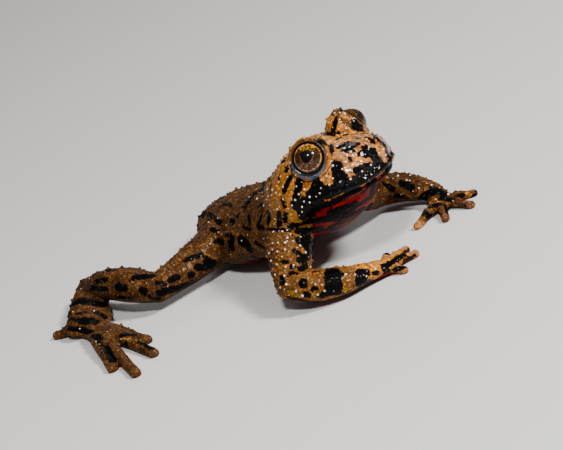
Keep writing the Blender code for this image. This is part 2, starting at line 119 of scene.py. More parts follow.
def smooth_step(low: float, high: float, value: np.ndarray) -> np.ndarray:
    """Share from 0 at low to 1 at high, with soft ends."""
    share = np.clip((value - low) / (high - low), 0.0, 1.0)
    return share * share * (3.0 - 2.0 * share)


def near_tree(points: np.ndarray) -> KDTree:
    """Tree for finding the nearest of the points.

    Args:
        points: Places, one in each row.

    Returns:
        The tree, whose indexes are the rows.
    """
    tree = KDTree(len(points))
    for index, point in enumerate(points):
        tree.insert(point, index)
    tree.balance()
    return tree


def spread(points: np.ndarray, rooms: np.ndarray, seed: int) -> list:
    """Pick points at random, none within the room of one picked before it.

    Args:
        points: Places to pick from.
        rooms: Clear distance round each, or 0 where none may be picked.
        seed: Seed of the draw.

    Returns:
        The picked indexes, in the order of picking.
    """
    tree = near_tree(points)
    free = rooms > 0
    kept = []
    for index in np.random.default_rng(seed).permutation(len(points)):
        if free[index]:
            kept.append(int(index))
            for _, other, _ in tree.find_range(points[index], rooms[index]):
                free[other] = False
    return kept


def segment_distance(points: np.ndarray, start: np.ndarray, end: np.ndarray) -> np.ndarray:
    """Distance of each point from the straight line between two ends.

    Args:
        points: Places, one in each row.
        start: One end of the line.
        end: Its other end.

    Returns:
        The distances.
    """
    along = end - start
    share = np.clip((points - start) @ along / max(float(along @ along), TINY), 0.0, 1.0)
    return np.linalg.norm(points - start - share[:, None] * along, axis=1)


def moved(points: np.ndarray, matrix: Matrix) -> np.ndarray:
    """Points as a matrix turns and shifts them."""
    rows = np.array(matrix)
    return points @ rows[:3, :3].T + rows[:3, 3]


@dataclass(frozen=True)
class PhotoCamera:
    """Camera of the photograph, in body millimetres."""

    azimuth: float = math.radians(-37.21)
    elevation: float = math.radians(21.19)
    roll: float = math.radians(-20.96)
    distance: float = 240.0
    target: tuple = (-5.41, 2.60, 8.0)
    pixels_per_mm: float = 7.447
    sensor: float = 36.0
    clip_start: float = 0.005

    def axes(self) -> tuple:
        """Directions of the turned camera.

        Returns:
            Unit vectors to its right, up and back.
        """
        level = math.cos(self.elevation)
        back = Vector((
            math.sin(self.azimuth) * level,
            -math.cos(self.azimuth) * level,
            math.sin(self.elevation),
        ))
        flat = Vector((math.cos(self.azimuth), math.sin(self.azimuth), 0))
        rise = flat.cross(-back)
        right = flat * math.cos(self.roll) + rise * math.sin(self.roll)
        up = -flat * math.sin(self.roll) + rise * math.cos(self.roll)
        return right, up, back

    def place(self) -> Vector:
        """Where the camera stands."""
        return Vector(self.target) + self.axes()[2] * self.distance

    def ray(self, pixel: tuple) -> Vector:
        """Direction in which a pixel of the photograph looks.

        Args:
            pixel: Its place across and down the photograph.

        Returns:
            A unit vector away from the camera.
        """
        right, up, back = self.axes()
        scale = 1.0 / self.pixels_per_mm
        across = (pixel[0] - PHOTO_WIDTH / 2) * scale
        rise = (PHOTO_HEIGHT / 2 - pixel[1]) * scale
        return (right * across + up * rise - back * self.distance).normalized()

    def build(self, shift: Vector) -> None:
        """Make it the scene's camera.

        Args:
            shift: Body millimetres to the frame's millimetres.
        """
        right, up, back = self.axes()
        data = bpy.data.cameras.new("photo_camera")
        data.sensor_width = self.sensor
        data.lens = self.sensor * self.pixels_per_mm * self.distance / PHOTO_WIDTH
        data.clip_start = self.clip_start
        item = bpy.data.objects.new("photo_camera", data)
        turn = Matrix((right, up, back)).transposed().to_4x4()
        item.matrix_world = Matrix.Translation((self.place() + shift) * MM) @ turn
        bpy.context.scene.collection.objects.link(item)
        bpy.context.scene.camera = item


class Loft:
    """Closed shapes made by extruding a round outline from ring to ring."""

    ROUND = (2.0, 2.0)
    CAP_RINGS = 5
    CAP_TIP_SHARE = 0.35
    BALL_SEGMENTS = 40
    BALL_RINGS = 24

    @staticmethod
    def oval(angle: float, half_width: float, top: float, bottom: float, powers: tuple) -> tuple:
        """Point of a superellipse whose upper and lower halves have their own height and power.

        Args:
            angle: Turn round the outline from its side.
            half_width: Reach to either side.
            top: Reach upwards.
            bottom: Reach downwards.
            powers: Power of the upper and of the lower half, where 2 is round.

        Returns:
            The distance across and the rise.
        """
        height, power = (top, powers[0]) if math.sin(angle) > 0 else (bottom, powers[1])
        across = math.copysign(abs(math.cos(angle)) ** (2 / power), math.cos(angle))
        rise = math.copysign(abs(math.sin(angle)) ** (2 / power), math.sin(angle))
        return half_width * across, height * rise

    @classmethod
    def through(cls, rings: list, sides: int) -> BMesh:
        """Closed shape through rings.

        Args:
            rings: Rows of (centre, side, up, half width, top, bottom, powers).
            sides: Corners of each ring.

        Returns:
            The shape, capped at both ends.
        """
        shape = bmesh.new()
        spoke = shape.verts.layers.int.new("spoke")
        bmesh.ops.create_circle(shape, cap_ends=True, segments=sides, radius=1.0)
        for index, vertex in enumerate(shape.verts):
            vertex[spoke] = index
        cap = shape.faces[:]
        for count, (centre, side, up, half_width, top, bottom, powers) in enumerate(rings):
            if count:
                raised = bmesh.ops.extrude_face_region(shape, geom=cap)
                cap = [item for item in raised["geom"] if isinstance(item, BMFace)]
            for vertex in {corner for face in cap for corner in face.verts}:
                angle = math.tau * vertex[spoke] / sides
                across, rise = cls.oval(angle, half_width, top, bottom, powers)
                vertex.co = centre + side * across + up * rise
        bmesh.ops.recalc_face_normals(shape, faces=shape.faces)
        return shape

    @classmethod
    def round_end(cls, point: Vector, out: Vector, side: Vector, up: Vector, size: tuple) -> list:
        """Rings of a round end, from the full section outwards.

        Args:
            point: Centre of the full section.
            out: Direction in which the end points.
            side: Direction across.
            up: Direction upwards.
            size: Radius across and radius up of the full section.

        Returns:
            The rings, as Loft.through takes them.
        """
        wide, high = size
        rings = []
        for count in range(1, cls.CAP_RINGS + 1):
            angle = 0.5 * math.pi * count / (cls.CAP_RINGS + cls.CAP_TIP_SHARE)
            shrink = math.cos(angle)
            centre = point + out * (0.5 * (wide + high) * math.sin(angle))
            rings.append((centre, side, up, wide * shrink, high * shrink, high * shrink, cls.ROUND))
        return rings

    @classmethod
    def tube(cls, rows: tuple, sides: int = 24, steps: int = 5) -> BMesh:
        """Round-ended length of flesh.

        Args:
            rows: Rows of (x, y, z, radius across, radius up) along it.
            sides: Corners of each ring.
            steps: Rings for each span between two rows.

        Returns:
            The closed shape.
        """
        path = spline(rows, steps)
        points = [Vector(row[:3]) for row in path]
        last = len(points) - 1
        rings = []
        for index, point in enumerate(points):
            ahead = (points[min(index + 1, last)] - points[max(index - 1, 0)]).normalized()
            side = ahead.cross(UP).normalized()
            up = side.cross(ahead)
            wide, high = path[index][3:5]
            if index == 0:
                rings += cls.round_end(point, -ahead, side, up, (wide, high))[::-1]
            rings.append((point, side, up, wide, high, high, cls.ROUND))
            if index == last:
                rings += cls.round_end(point, ahead, side, up, (wide, high))
        return cls.through(rings, sides)

    @staticmethod
    def ball(centre: Vector, radius: float) -> BMesh:
        """Sphere.

        Args:
            centre: Its middle.
            radius: Its radius.

        Returns:
            The closed shape.
        """
        shape = bmesh.new()
        segments, rings = Loft.BALL_SEGMENTS, Loft.BALL_RINGS
        bmesh.ops.create_uvsphere(shape, u_segments=segments, v_segments=rings, radius=radius)
        bmesh.ops.translate(shape, verts=shape.verts, vec=centre)
        return shape


@dataclass(frozen=True)
class Head:
    """Skull, lips, mouth line and nostrils, in head axes: x forward, z up."""

    neck: tuple = (0.0, 0.0, 10.9)
    yaw: float = math.radians(-82.2)
    pitch: float = math.radians(20.0)
    stations: tuple = (
        (-4.0, 6.4, -0.6, 4.5, 5.4), (-1.0, 7.6, -0.6, 5.3, 6.2), (2.0, 8.0, -0.5, 6.1, 6.5),
        (5.0, 7.6, -0.5, 5.6, 6.0), (7.5, 6.8, -0.5, 4.6, 5.0), (9.6, 5.8, -0.5, 3.7, 3.9),
        (11.3, 4.7, -0.5, 3.0, 2.9), (12.5, 3.4, -0.4, 2.3, 2.1), (13.2, 2.0, -0.3, 1.5, 1.3),
        (13.5, 0.8, -0.2, 0.7, 0.8),
    )
    powers: tuple = (2.3, 1.8)
    sides: int = 48
    station_steps: int = 5
    mouth_line: tuple = (
        (15.0, -2.4), (12.4, -2.3), (10.0, -1.7), (7.0, -1.0), (5.4, -0.8), (4.1, -1.3), (3.1, -2.3),
        (2.3, -3.6),
    )
    line_steps: int = 4
    lips: tuple = ((0.45, 0.4), (-0.45, 1.1))
    lip_radius: float = 0.5
    lip_sides: int = 12
    lip_back: float = 3.0
    lip_turn: float = 9.0
    lip_tip: float = 13.0
    nostril: tuple = (12.2, 1.7, 1.5)

    def frame(self) -> Matrix:
        """Matrix from head axes to body axes."""
        turn = Matrix.Rotation(self.yaw, 4, "Z") @ Matrix.Rotation(-self.pitch, 4, "Y")
        return Matrix.Translation(self.neck) @ turn

    def skull(self) -> BMesh:
        """Head from behind the jaw to the snout.

        Returns:
            The closed shape.
        """
        place = self.frame()
        side = place.to_3x3() @ Vector((0, 1, 0))
        up = place.to_3x3() @ UP
        rings = []
        for x, half_width, widest, crown, throat in spline(self.stations, self.station_steps):
            centre = place @ Vector((x, 0, widest))
            top, bottom = crown - widest, throat + widest
            rings.append((centre, side, up, half_width, top, bottom, self.powers))
        return Loft.through(rings, self.sides)

    def mouth_height(self, x: object) -> object:
        """Height of the line between the lips at one station or at many."""
        line = spline(self.mouth_line, self.line_steps)[::-1]
        return np.interp(x, line[:, 0], line[:, 1])

    def lip_path(self, rise: float, inset: float) -> list:
        """Points along the mouth line, from the left jaw round the snout to the right jaw.

        Args:
            rise: How far above the mouth line they lie.
            inset: How far inside the skull's widest outline they lie.

        Returns:
            The points, in body millimetres.
        """
        left = []
        for x, half_width, *_ in spline(self.stations, self.station_steps):
            if x > self.lip_back:
                forward = max(0.0, (x - self.lip_turn) / (self.lip_tip - self.lip_turn))
                left.append((x - inset * forward, max(0.0, half_width - inset)))
        right = [(x, -y) for x, y in left[::-1]]
        place = self.frame()
        path = [*left, (self.lip_tip - inset, 0.0), *right]
        return [place @ Vector((x, y, self.mouth_height(x) + rise)) for x, y in path]

    def lip(self, rise: float, inset: float) -> BMesh:
        """Low rim of one lip."""
        rows = [(*point, self.lip_radius, self.lip_radius) for point in self.lip_path(rise, inset)]
        return Loft.tube(rows, sides=self.lip_sides, steps=1)

    def nostril_at(self, side: Side) -> Vector:
        """Middle of one nostril, near the skin."""
        x, y, z = self.nostril
        return self.frame() @ Vector((x, side.value * y, z))


@dataclass(frozen=True)
class EyeShape:
    """Sizes of one eye and of the lids round it."""

    centre: tuple = (7.2, 4.4, 4.1)
    axis: tuple = (0.62, 0.72, 0.33)
    top: tuple = (0.31, -0.49, 0.81)
    radius: float = 2.4
    proud: float = 0.25
    socket_gap: float = 0.35
    lid_radius: float = 3.0
    opening: float = 2.14
    rim_height: float = 1.42
    rim_reach: float = 2.55
    cornea_angle: float = math.radians(52.0)
    cornea_rise: float = 0.22

    def pose(self, head: Head, side: Side) -> Matrix:
        """Matrix of an eye whose +Z looks out of the head and whose +Y is the iris's top.

        Args:
            head: The head that carries it.
            side: Which of the two eyes.

        Returns:
            The matrix from the eye's own axes to body axes.
        """
        place = head.frame()
        x, y, z = self.centre
        look, top = (
            (place.to_3x3() @ Vector((ahead, side.value * out, rise))).normalized()
            for ahead, out, rise in (self.axis, self.top)
        )
        across = top.cross(look).normalized()
        axes = Matrix((across, look.cross(across), look)).transposed().to_4x4()
        return Matrix.Translation(place @ Vector((x, side.value * y, z))) @ axes


@dataclass(frozen=True)
class Trunk:
    """Body from the shoulders to the vent: station, bend, half width, back and belly height."""

    stations: tuple = (
        (-4.0, 0.0, 5.3, 12.9, 6.2), (0.0, -0.2, 6.9, 12.7, 4.8), (4.0, -0.1, 7.8, 11.6, 3.3),
        (8.0, 0.4, 8.5, 10.5, 1.8), (13.0, 1.1, 9.1, 9.5, 0.3), (17.5, 1.8, 8.7, 8.5, -0.45),
        (21.0, 2.3, 7.8, 7.7, -0.35), (24.5, 2.6, 6.2, 6.7, 0.2), (27.0, 2.8, 4.6, 5.8, 0.9),
        (28.7, 2.9, 2.6, 4.8, 1.8),
    )
    station_steps: int = 5
    axis_share: float = 0.42
    powers: tuple = (2.1, 2.3)
    sides: int = 48

    def shape(self) -> BMesh:
        """Loft the trunk.

        Returns:
            The closed shape.
        """
        rings = []
        for y, bend, half_width, back, belly in spline(self.stations, self.station_steps):
            middle = belly + self.axis_share * (back - belly)
            centre = Vector((bend, y, middle))
            top, bottom = back - middle, middle - belly
            rings.append((centre, Vector((1, 0, 0)), UP, half_width, top, bottom, self.powers))
        return Loft.through(rings, self.sides)


@dataclass(frozen=True)
class Limbs:
    """Arms and legs: points along each, with the radius across and the radius up."""

    right_arm: tuple = (
        (-4.2, 2.0, 8.4, 3.3, 3.3), (-6.8, 0.2, 7.2, 3.2, 3.2), (-9.9, -2.2, 5.1, 2.8, 2.7),
        (-12.4, -4.3, 3.4, 2.3, 2.2), (-11.3, -6.9, 2.9, 2.4, 2.2), (-8.8, -9.5, 2.3, 2.1, 1.8),
        (-5.2, -11.0, 1.7, 1.5, 1.25),
    )
    left_arm: tuple = (
        (4.2, 2.0, 8.2, 3.3, 3.2), (6.8, 1.2, 6.7, 2.9, 2.8), (10.6, 2.3, 4.1, 2.5, 2.4),
        (13.8, 3.1, 2.7, 2.2, 2.1), (14.9, 1.2, 2.7, 2.3, 2.1), (15.7, -1.8, 2.3, 2.0, 1.7),
        (15.9, -4.5, 1.9, 1.5, 1.25),
    )
    right_leg: tuple = (
        (-0.5, 17.4, 5.2, 3.2, 3.2), (-4.5, 17.8, 4.5, 3.1, 3.0), (-10.5, 18.6, 3.6, 2.7, 2.5),
        (-16.8, 19.2, 3.3, 2.0, 2.0), (-17.8, 23.2, 4.0, 2.5, 2.4), (-18.1, 28.5, 3.9, 2.3, 2.2),
        (-17.8, 34.6, 2.5, 1.7, 1.6),
    )
    left_leg: tuple = (
        (5.0, 17.4, 4.9, 3.2, 3.1), (8.6, 16.8, 4.6, 3.1, 2.9), (12.8, 15.2, 3.9, 2.7, 2.5),
        (17.0, 13.2, 2.9, 1.95, 1.95), (18.2, 16.8, 3.0, 2.5, 2.3), (18.4, 21.8, 2.7, 2.3, 2.0),
        (17.4, 27.2, 2.3, 1.6, 1.5),
    )
    bend: int = 3

    def shapes(self) -> list:
        """Round-ended tubes that meet at the elbows and knees.

        Returns:
            Two closed shapes for each limb.
        """
        limbs = (self.right_arm, self.left_arm, self.right_leg, self.left_leg)
        halves = [half for limb in limbs for half in (limb[:self.bend + 1], limb[self.bend:])]
        return [Loft.tube(rows) for rows in halves]


@dataclass(frozen=True)
class Extremity:
    """A hand or a foot: palm or sole with its digits, on the floor."""

    stations: tuple
    radii: tuple
    tips: tuple
    digit_radii: tuple
    root_share: float
    webbed: bool
    digit_height: float = 0.45
    digit_drop: float = 0.2
    digit_places: tuple = (0.5, 0.68, 0.86)
    digit_shares: tuple = ((1.0, 0.9), (1.04, 0.95), (0.88, 0.86), (1.0, 0.9), (1.0, 0.92))
    digit_sides: int = 16
    digit_steps: int = 3
    knuckle_rise: float = 0.15
    web_reach: float = 0.62
    web_dip: float = 0.48
    web_low: float = 0.3
    web_high: float = 0.85

    def digit(self, tip: tuple) -> BMesh:
        """Finger or toe with two low knuckles and a rounded tip.

        Args:
            tip: Where it ends on the floor.

        Returns:
            The closed shape.
        """
        palm = self.stations[-1]
        start = Vector(palm).lerp(Vector((*tip, palm[2])), self.root_share)
        start.z -= self.digit_drop
        end = Vector((*tip, self.digit_height))
        middle, slim, near = (start.lerp(end, share) for share in self.digit_places)
        middle.z += self.knuckle_rise
        slim.z = 0.5 * (middle.z + self.digit_height)
        near.z = self.digit_height
        root, knuckle, point = self.digit_radii
        radii = (root, knuckle, knuckle, point, point)
        rows = [
            (*centre, wide * radius, high * radius)
            for centre, radius, (wide, high)
            in zip((start, middle, slim, near, end), radii, self.digit_shares)
        ]
        return Loft.tube(rows, sides=self.digit_sides, steps=self.digit_steps)

    def web(self, first_tip: tuple, second_tip: tuple) -> BMesh:
        """Skin between two toes, with a hollowed free edge.

        Args:
            first_tip: Where one toe ends on the floor.
            second_tip: Where the next one ends.

        Returns:
            The closed shape.
        """
        palm = self.stations[-1]
        root = Vector((palm[0], palm[1], self.web_low))
        first = Vector((*first_tip, self.web_low))
        second = Vector((*second_tip, self.web_low))
        corners = (
            root,
            root.lerp(first, self.web_reach),
            root.lerp(first.lerp(second, 0.5), self.web_dip),
            root.lerp(second, self.web_reach),
        )
        shape = bmesh.new()
        face = shape.faces.new([shape.verts.new(corner) for corner in corners])
        raised = bmesh.ops.extrude_face_region(shape, geom=[face])
        tops = [item for item in raised["geom"] if isinstance(item, BMVert)]
        bmesh.ops.translate(shape, verts=tops, vec=(0, 0, self.web_high - self.web_low))
        bmesh.ops.recalc_face_normals(shape, faces=shape.faces)
        return shape

    def shapes(self) -> list:
        """Palm or sole, digits and webs.

        Returns:
            Closed shapes that overlap.
        """
        rows = [(*point, *radii) for point, radii in zip(self.stations, self.radii)]
        pieces = [Loft.tube(rows)]
        pieces += [self.digit(tip) for tip in self.tips]
        if self.webbed:
            pieces += [self.web(first, second) for first, second in zip(self.tips, self.tips[1:])]
        return pieces


def hand(wrist: tuple, palm: tuple, tips: tuple) -> Extremity:
    """Four-fingered hand.

    Args:
        wrist: Centre of its root.
        palm: Centre of its palm, from which the fingers grow.
        tips: Where each finger ends on the floor.

    Returns:
        The hand.
    """
    return Extremity(
        stations=(wrist, palm),
        radii=((1.5, 1.25), (1.7, 0.9)),
        tips=tips,
        digit_radii=(0.85, 0.72, 0.64),
        root_share=0.12,
        webbed=False,
    )


def foot(heel: tuple, sole: tuple, tips: tuple) -> Extremity:
    """Five-toed webbed foot.

    Args:
        heel: Centre of its root.
        sole: Centre of its sole, from which the toes grow.
        tips: Where each toe ends on the floor.

    Returns:
        The foot.
    """
    middle = tuple(Vector(heel).lerp(Vector(sole), 0.5))
    return Extremity(
        stations=(heel, middle, sole),
        radii=((1.9, 1.5), (3.0, 1.4), (3.5, 1.05)),
        tips=tips,
        digit_radii=(1.12, 0.94, 0.8),
        root_share=0.1,
        webbed=True,
    )


HANDS_AND_FEET = (
    hand(
        (-5.2, -11.0, 1.7), (-2.8, -11.5, 1.1),
        ((0.6, -8.6), (2.7, -10.3), (1.9, -12.7), (-2.1, -14.2)),
    ),
    hand(
        (16.0, -4.4, 1.8), (14.8, -6.6, 1.1),
        ((8.8, -7.2), (11.2, -10.4), (15.2, -11.8), (18.4, -9.7)),
    ),
    foot(
        (-17.8, 35.0, 2.2), (-24.4, 27.4, 1.3),
        ((-24.8, 14.1), (-27.3, 9.8), (-31.9, 8.3), (-31.8, 13.5), (-27.0, 32.2)),
    ),
    foot(
        (17.4, 27.6, 2.1), (24.2, 25.2, 1.3),
        ((22.4, 16.2), (26.0, 14.6), (29.0, 17.2), (31.6, 21.0), (29.6, 29.2)),
    ),
)


@dataclass(frozen=True)
class Stroke:
    """A mark seen in the photograph: a line between two pixels and its half width, in pixels."""

    start: tuple
    end: tuple
    half_width: float
    region: Region = Region.BODY

    def pieces(self, step: float = 3.0) -> list:
        """The stroke cut into short ones, so that each lies on the skin.

        Args:
            step: Greatest length of one, in pixels.

        Returns:
            The short strokes, from its start to its end.
        """
        start, end = np.array(self.start), np.array(self.end)
        count = max(1, math.ceil(np.linalg.norm(end - start) / step))
        places = [tuple(start + (end - start) * index / count) for index in range(count + 1)]
        return [Stroke(a, b, self.half_width, self.region) for a, b in zip(places, places[1:])]


def strokes(region: Region, **groups: tuple) -> list:
    """Strokes written down from the photograph.

    Args:
        region: Which skin they lie on.
        groups: Rows of (x, y, x, y, half width) in pixels, named for where they lie.

    Returns:
        The strokes of all the groups, in the order given.
    """
    return [
        Stroke((x1, y1), (x2, y2), width, region)
        for rows in groups.values() for x1, y1, x2, y2, width in rows
    ]


HEAD_BLACK = strokes(
    Region.HEAD,
    round_near_eye=(
        (321.5, 141, 330, 146, 4), (331, 146, 330.8, 151.5, 2.9), (322.3, 136.1, 331.5, 132.8, 2.2),
        (333.6, 135.2, 339.7, 133.3, 1.3), (336.2, 139.8, 347.3, 134.2, 1.5),
    ),
    far_lid=(
        (333.5, 131, 336, 118.5, 2.7), (336.5, 112, 345, 108.8, 2.4), (355.5, 119, 356, 127.5, 3.8),
        (358.5, 125.5, 361.5, 128.6, 2.2), (356.5, 130, 363.5, 131.3, 0.9),
    ),
    far_cheek_and_snout=(
        (361.9, 133.7, 365.7, 133.3, 1.2), (357.3, 138.3, 359.6, 139, 2),
        (366.5, 137.5, 371.8, 139.8, 2.1), (371.8, 139.8, 373, 142.5, 2.5),
        (371, 132, 379.5, 140.6, 2.8), (379.5, 140.6, 386, 147, 3.8), (386, 147, 388, 156, 3.9),
        (380.5, 135.8, 389.5, 145.5, 1.6), (389.5, 145.5, 391.5, 152, 1.9),
        (391.2, 152, 390.5, 161, 2.3), (390.5, 161, 386.5, 169, 3), (391, 166.5, 386, 173.5, 2.6),
        (386, 173.5, 380, 179.5, 2), (350, 190.2, 368, 181.6, 1.9), (368, 181.6, 380, 173.2, 1.9),
        (380, 173.2, 387.3, 165, 2.2),
    ),
    tip_and_side_of_snout=(
        (366.5, 149, 373.5, 152, 4.9), (361, 153, 368, 155, 3.6), (373, 155.6, 377.5, 163, 4.7),
        (378.7, 160.5, 382.5, 165, 3.8), (338.9, 147, 348.9, 142.6, 3.3), (348, 147, 355, 144.6, 4.8),
        (343.5, 150.5, 353, 151.5, 2.5), (349.8, 159.4, 350.6, 160.2, 2), (357.8, 171, 365.7, 168, 4.9),
        (365.7, 168, 378, 167, 4.7),
    ),
    eye_to_nostril=(
        (335.6, 163.6, 338.8, 165, 4), (336.6, 169, 338.2, 177.5, 5.8), (343, 173.6, 344.6, 177.5, 3.6),
    ),
    upper_lip=(
        (337, 186, 349, 183, 5.2), (349, 183, 364.2, 177.5, 5.2), (364.2, 177.5, 377, 171, 4.7),
        (316, 194, 337, 188, 5.4), (303, 200.5, 318.3, 197.4, 4), (318.3, 199, 337.4, 193.6, 3.4),
        (337.4, 192.6, 349, 188.6, 3.1), (349, 187.6, 364, 182, 2.7), (310, 204, 320, 202, 4.9),
        (377, 170, 383.3, 164.6, 2.9),
    ),
    bars_below_eye=(
        (300, 179.5, 298.4, 188.8, 4.4), (297.8, 188.8, 296.8, 198.7, 4),
        (313.7, 177.3, 320.8, 184.9, 3.4), (316, 184.6, 313.7, 194.1, 4.7),
        (295.3, 197.2, 302.2, 201.8, 3.4), (310.6, 191.8, 306.8, 201.8, 3.4),
        (286.9, 168.1, 287.4, 169.6, 3.1), (291.5, 167.3, 291.8, 172.7, 1.6),
        (282.9, 161.6, 287, 158.6, 2.6), (289.6, 178.6, 283.8, 190.6, 3.3),
        (282.6, 199.6, 284.4, 206.4, 2.1), (295.6, 205.6, 305.2, 210.9, 5.8),
        (301.4, 216.3, 312, 213.2, 4.7), (278.5, 176.8, 279.4, 179.7, 1.3),
        (309.5, 209.5, 315, 209, 4.7),
    ),
    # The lowest rows, on the throat, are partly its own black blotches and partly painted shade
    lower_lip_and_throat=(
        (314.2, 209.6, 334, 201.8, 3.8), (334, 201.8, 343, 198, 3.6), (332, 212.8, 344.7, 207.8, 5.6),
        (347.5, 195.8, 358.6, 191.2, 4.7), (354, 203.6, 355.4, 208.2, 4.5),
        (363.6, 192.3, 369.7, 185.1, 3.4), (371.5, 194, 374.5, 182, 3.6), (349, 216.5, 362, 209.5, 4.7),
        (364.2, 202.2, 371.4, 197, 4.5), (308, 222, 334, 218, 5.2), (322, 219, 336, 215.5, 3.2),
        (336, 216, 352, 210.5, 3.6), (352, 210, 367, 199, 3.6), (330, 227, 350, 220.5, 3.4),
        (350, 220.5, 366, 208, 3.2), (372, 199, 378.5, 184, 2.6), (335, 202.4, 346, 198.2, 2.6),
        (378, 190, 380, 180, 2.2), (338, 220, 344, 217.5, 4.9), (312, 232, 338, 228.5, 4.5),
        (346, 226, 361, 218.5, 4), (367, 211.5, 371, 205, 3.4),
    ),
)

BODY_BLACK = strokes(
    Region.BODY,
    shoulder_and_flank=(
        (276.6, 162.4, 279.4, 160.5, 1.6), (266, 182.6, 260.3, 192.1, 3.4),
        (270.8, 179.7, 267, 182.6, 2.3), (260.2, 191.2, 253.6, 195, 2.6), (253, 196, 244, 210.4, 2),
        (238.3, 214.2, 233.5, 222.8, 3.1), (270.8, 185.4, 271.3, 192.1, 2.3),
        (268.9, 213.2, 268.9, 222.7, 3.2), (279.4, 212.2, 279.4, 224.6, 3),
        (285.2, 213.2, 285.6, 220.8, 2.5), (261.2, 217, 258.4, 224.6, 2.1),
        (259.3, 226.8, 262, 227.5, 2.9), (262, 228.5, 290, 231, 1.7), (219.1, 222.7, 221, 223.5, 3.1),
        (214.4, 217, 214.8, 219, 2), (231.6, 220.9, 233.5, 222.7, 2.9), (216.3, 240.9, 223, 241.9, 2.9),
        (240.2, 240, 248.8, 246.6, 5.2), (229.7, 243.8, 231.5, 246, 3.6),
        (255.5, 242.8, 265, 248.6, 2.1), (253.6, 257.2, 268.9, 260, 3.1), (249, 213, 250, 226, 1.6),
        (244, 227, 250.5, 229.5, 1.6), (232, 239.5, 232, 248, 4), (244, 242, 249, 249, 4.8),
        (247, 260.5, 266, 262.5, 2.2), (226, 235, 231, 235, 2), (201, 209.5, 204, 215, 3.6),
        (208, 214, 212, 216.5, 2.6), (218, 221, 221, 223, 3.2), (256, 191.5, 243, 207, 2.2),
        (224, 203, 231, 206, 2.4), (212, 229, 219, 232, 2.4),
    ),
    # The chest rows, from (299.9, 240.8) and from (291, 226) on, are partly the chest's own black and
    # partly painted shade
    upper_arm=(
        (281.3, 261.5, 288, 262.4, 1.8), (291.4, 266.7, 293.4, 267, 2.9),
        (290.9, 273.4, 296.7, 273.4, 2.2), (281.6, 278.1, 283.3, 282.2, 3.1),
        (293.8, 250.5, 300.5, 253.6, 2.2), (299.9, 240.8, 316.4, 239.1, 5.2),
        (307.3, 246.7, 313.1, 250, 5.5), (299.9, 259.8, 309, 255.7, 3.9),
        (300.9, 269.8, 306.2, 266.4, 3.6), (291, 226, 318, 222, 3.6), (297, 231, 320, 228, 3.4),
        (304, 237, 312, 243, 4), (309, 242, 310, 254, 3.4),
    ),
    forearm=(
        (332.6, 273.4, 333.6, 287.7, 8.8), (340.3, 274.6, 341.2, 275, 2.6),
        (337.6, 291, 338.6, 293, 3.6), (362.2, 273.4, 361.4, 281.2, 6.6),
        (367.5, 272.3, 368.5, 272.8, 2.9), (383.6, 267, 390.8, 263.1, 3.6), (393, 260.5, 399, 256, 2.4),
        (373.6, 273.9, 377.8, 272.3, 2.1), (386, 272.3, 388, 271.6, 2.6),
        (396.5, 256.7, 398.5, 255.7, 2.3), (302.4, 282.2, 303.6, 284, 4.2),
        (312.3, 289.7, 316.4, 288.8, 2.3), (313.1, 272, 318.9, 271.2, 1.4),
        (305.7, 294.3, 308, 295, 3.1), (323.9, 293.5, 326, 294, 3.4), (392, 262.5, 403, 254.5, 3.2),
        (403, 254, 410, 250, 2.2), (395, 269.5, 404, 266.5, 2.8), (404, 262, 414, 255.5, 2),
        (289, 298, 310, 302, 2.4), (310, 302, 330, 301, 2.4), (330, 300.5, 350, 295.5, 2.2),
        (350, 295, 372, 284.5, 2), (372, 284.5, 386, 277, 1.6), (319, 295, 323, 297.5, 2.6),
    ),
    far_arm_and_hand=(
        (383, 183, 392, 189, 3.2), (401, 183, 412, 188, 3.4), (417, 203, 434, 191, 4.6),
        (434, 190, 444, 193.5, 4.2), (441, 199, 452, 199, 3), (455, 197, 463, 195.5, 2.3),
        (430, 207, 441, 204, 2.4), (424, 213, 430, 217, 2.8), (396, 196, 406, 198, 2.6),
        (445, 206, 449, 215, 2.2),
    ),
    thigh=(
        (207, 261.5, 213, 265.2, 4.9), (197.3, 267.6, 207, 267.6, 3.6), (190.6, 274.8, 192, 275, 3.4),
        (185.2, 260.1, 200.9, 254.6, 2.6), (170.6, 279.7, 177.9, 276.7, 3.1),
        (157.3, 283.3, 164.5, 283.9, 2.3), (159.7, 293, 179.1, 288.2, 3.6),
        (179.1, 288.2, 196.1, 282.1, 4.2),
    ),
    shank=(
        (134.2, 277.6, 152.4, 275.8, 3.4), (142.7, 290.8, 143.5, 292, 4.4),
        (117.3, 287, 124.5, 288.2, 3.6), (89.4, 288.2, 106.4, 289.4, 2.6),
        (95.5, 281.7, 106.4, 279.8, 2.6), (116, 296.5, 130.6, 299, 2.3),
        (150.8, 298.3, 158.8, 299.5, 2.3),
    ),
    foot_and_toes=(
        (70.5, 304, 82, 300, 4.4), (82, 300.5, 104, 305.2, 4.6), (69, 319, 83, 320.5, 2.4),
        (69, 327.5, 92, 332, 2.9), (76.8, 313.6, 87.8, 312.4, 2), (82.1, 320.7, 96.7, 322.1, 4.7),
        (96.7, 312.4, 105.4, 317.3, 2.6), (97.9, 334.2, 101.5, 339.1, 2.3),
        (106.6, 348.2, 113, 361.1, 3.8), (93, 335, 104, 347, 2), (126.2, 345.4, 134, 356.6, 3.8),
        (140, 341.5, 150, 347.5, 2.8), (137, 360.1, 138, 361.1, 2.9), (146.6, 344.4, 151.8, 348.2, 3.1),
        (121, 335, 132.5, 334.8, 2.9),
    ),
)

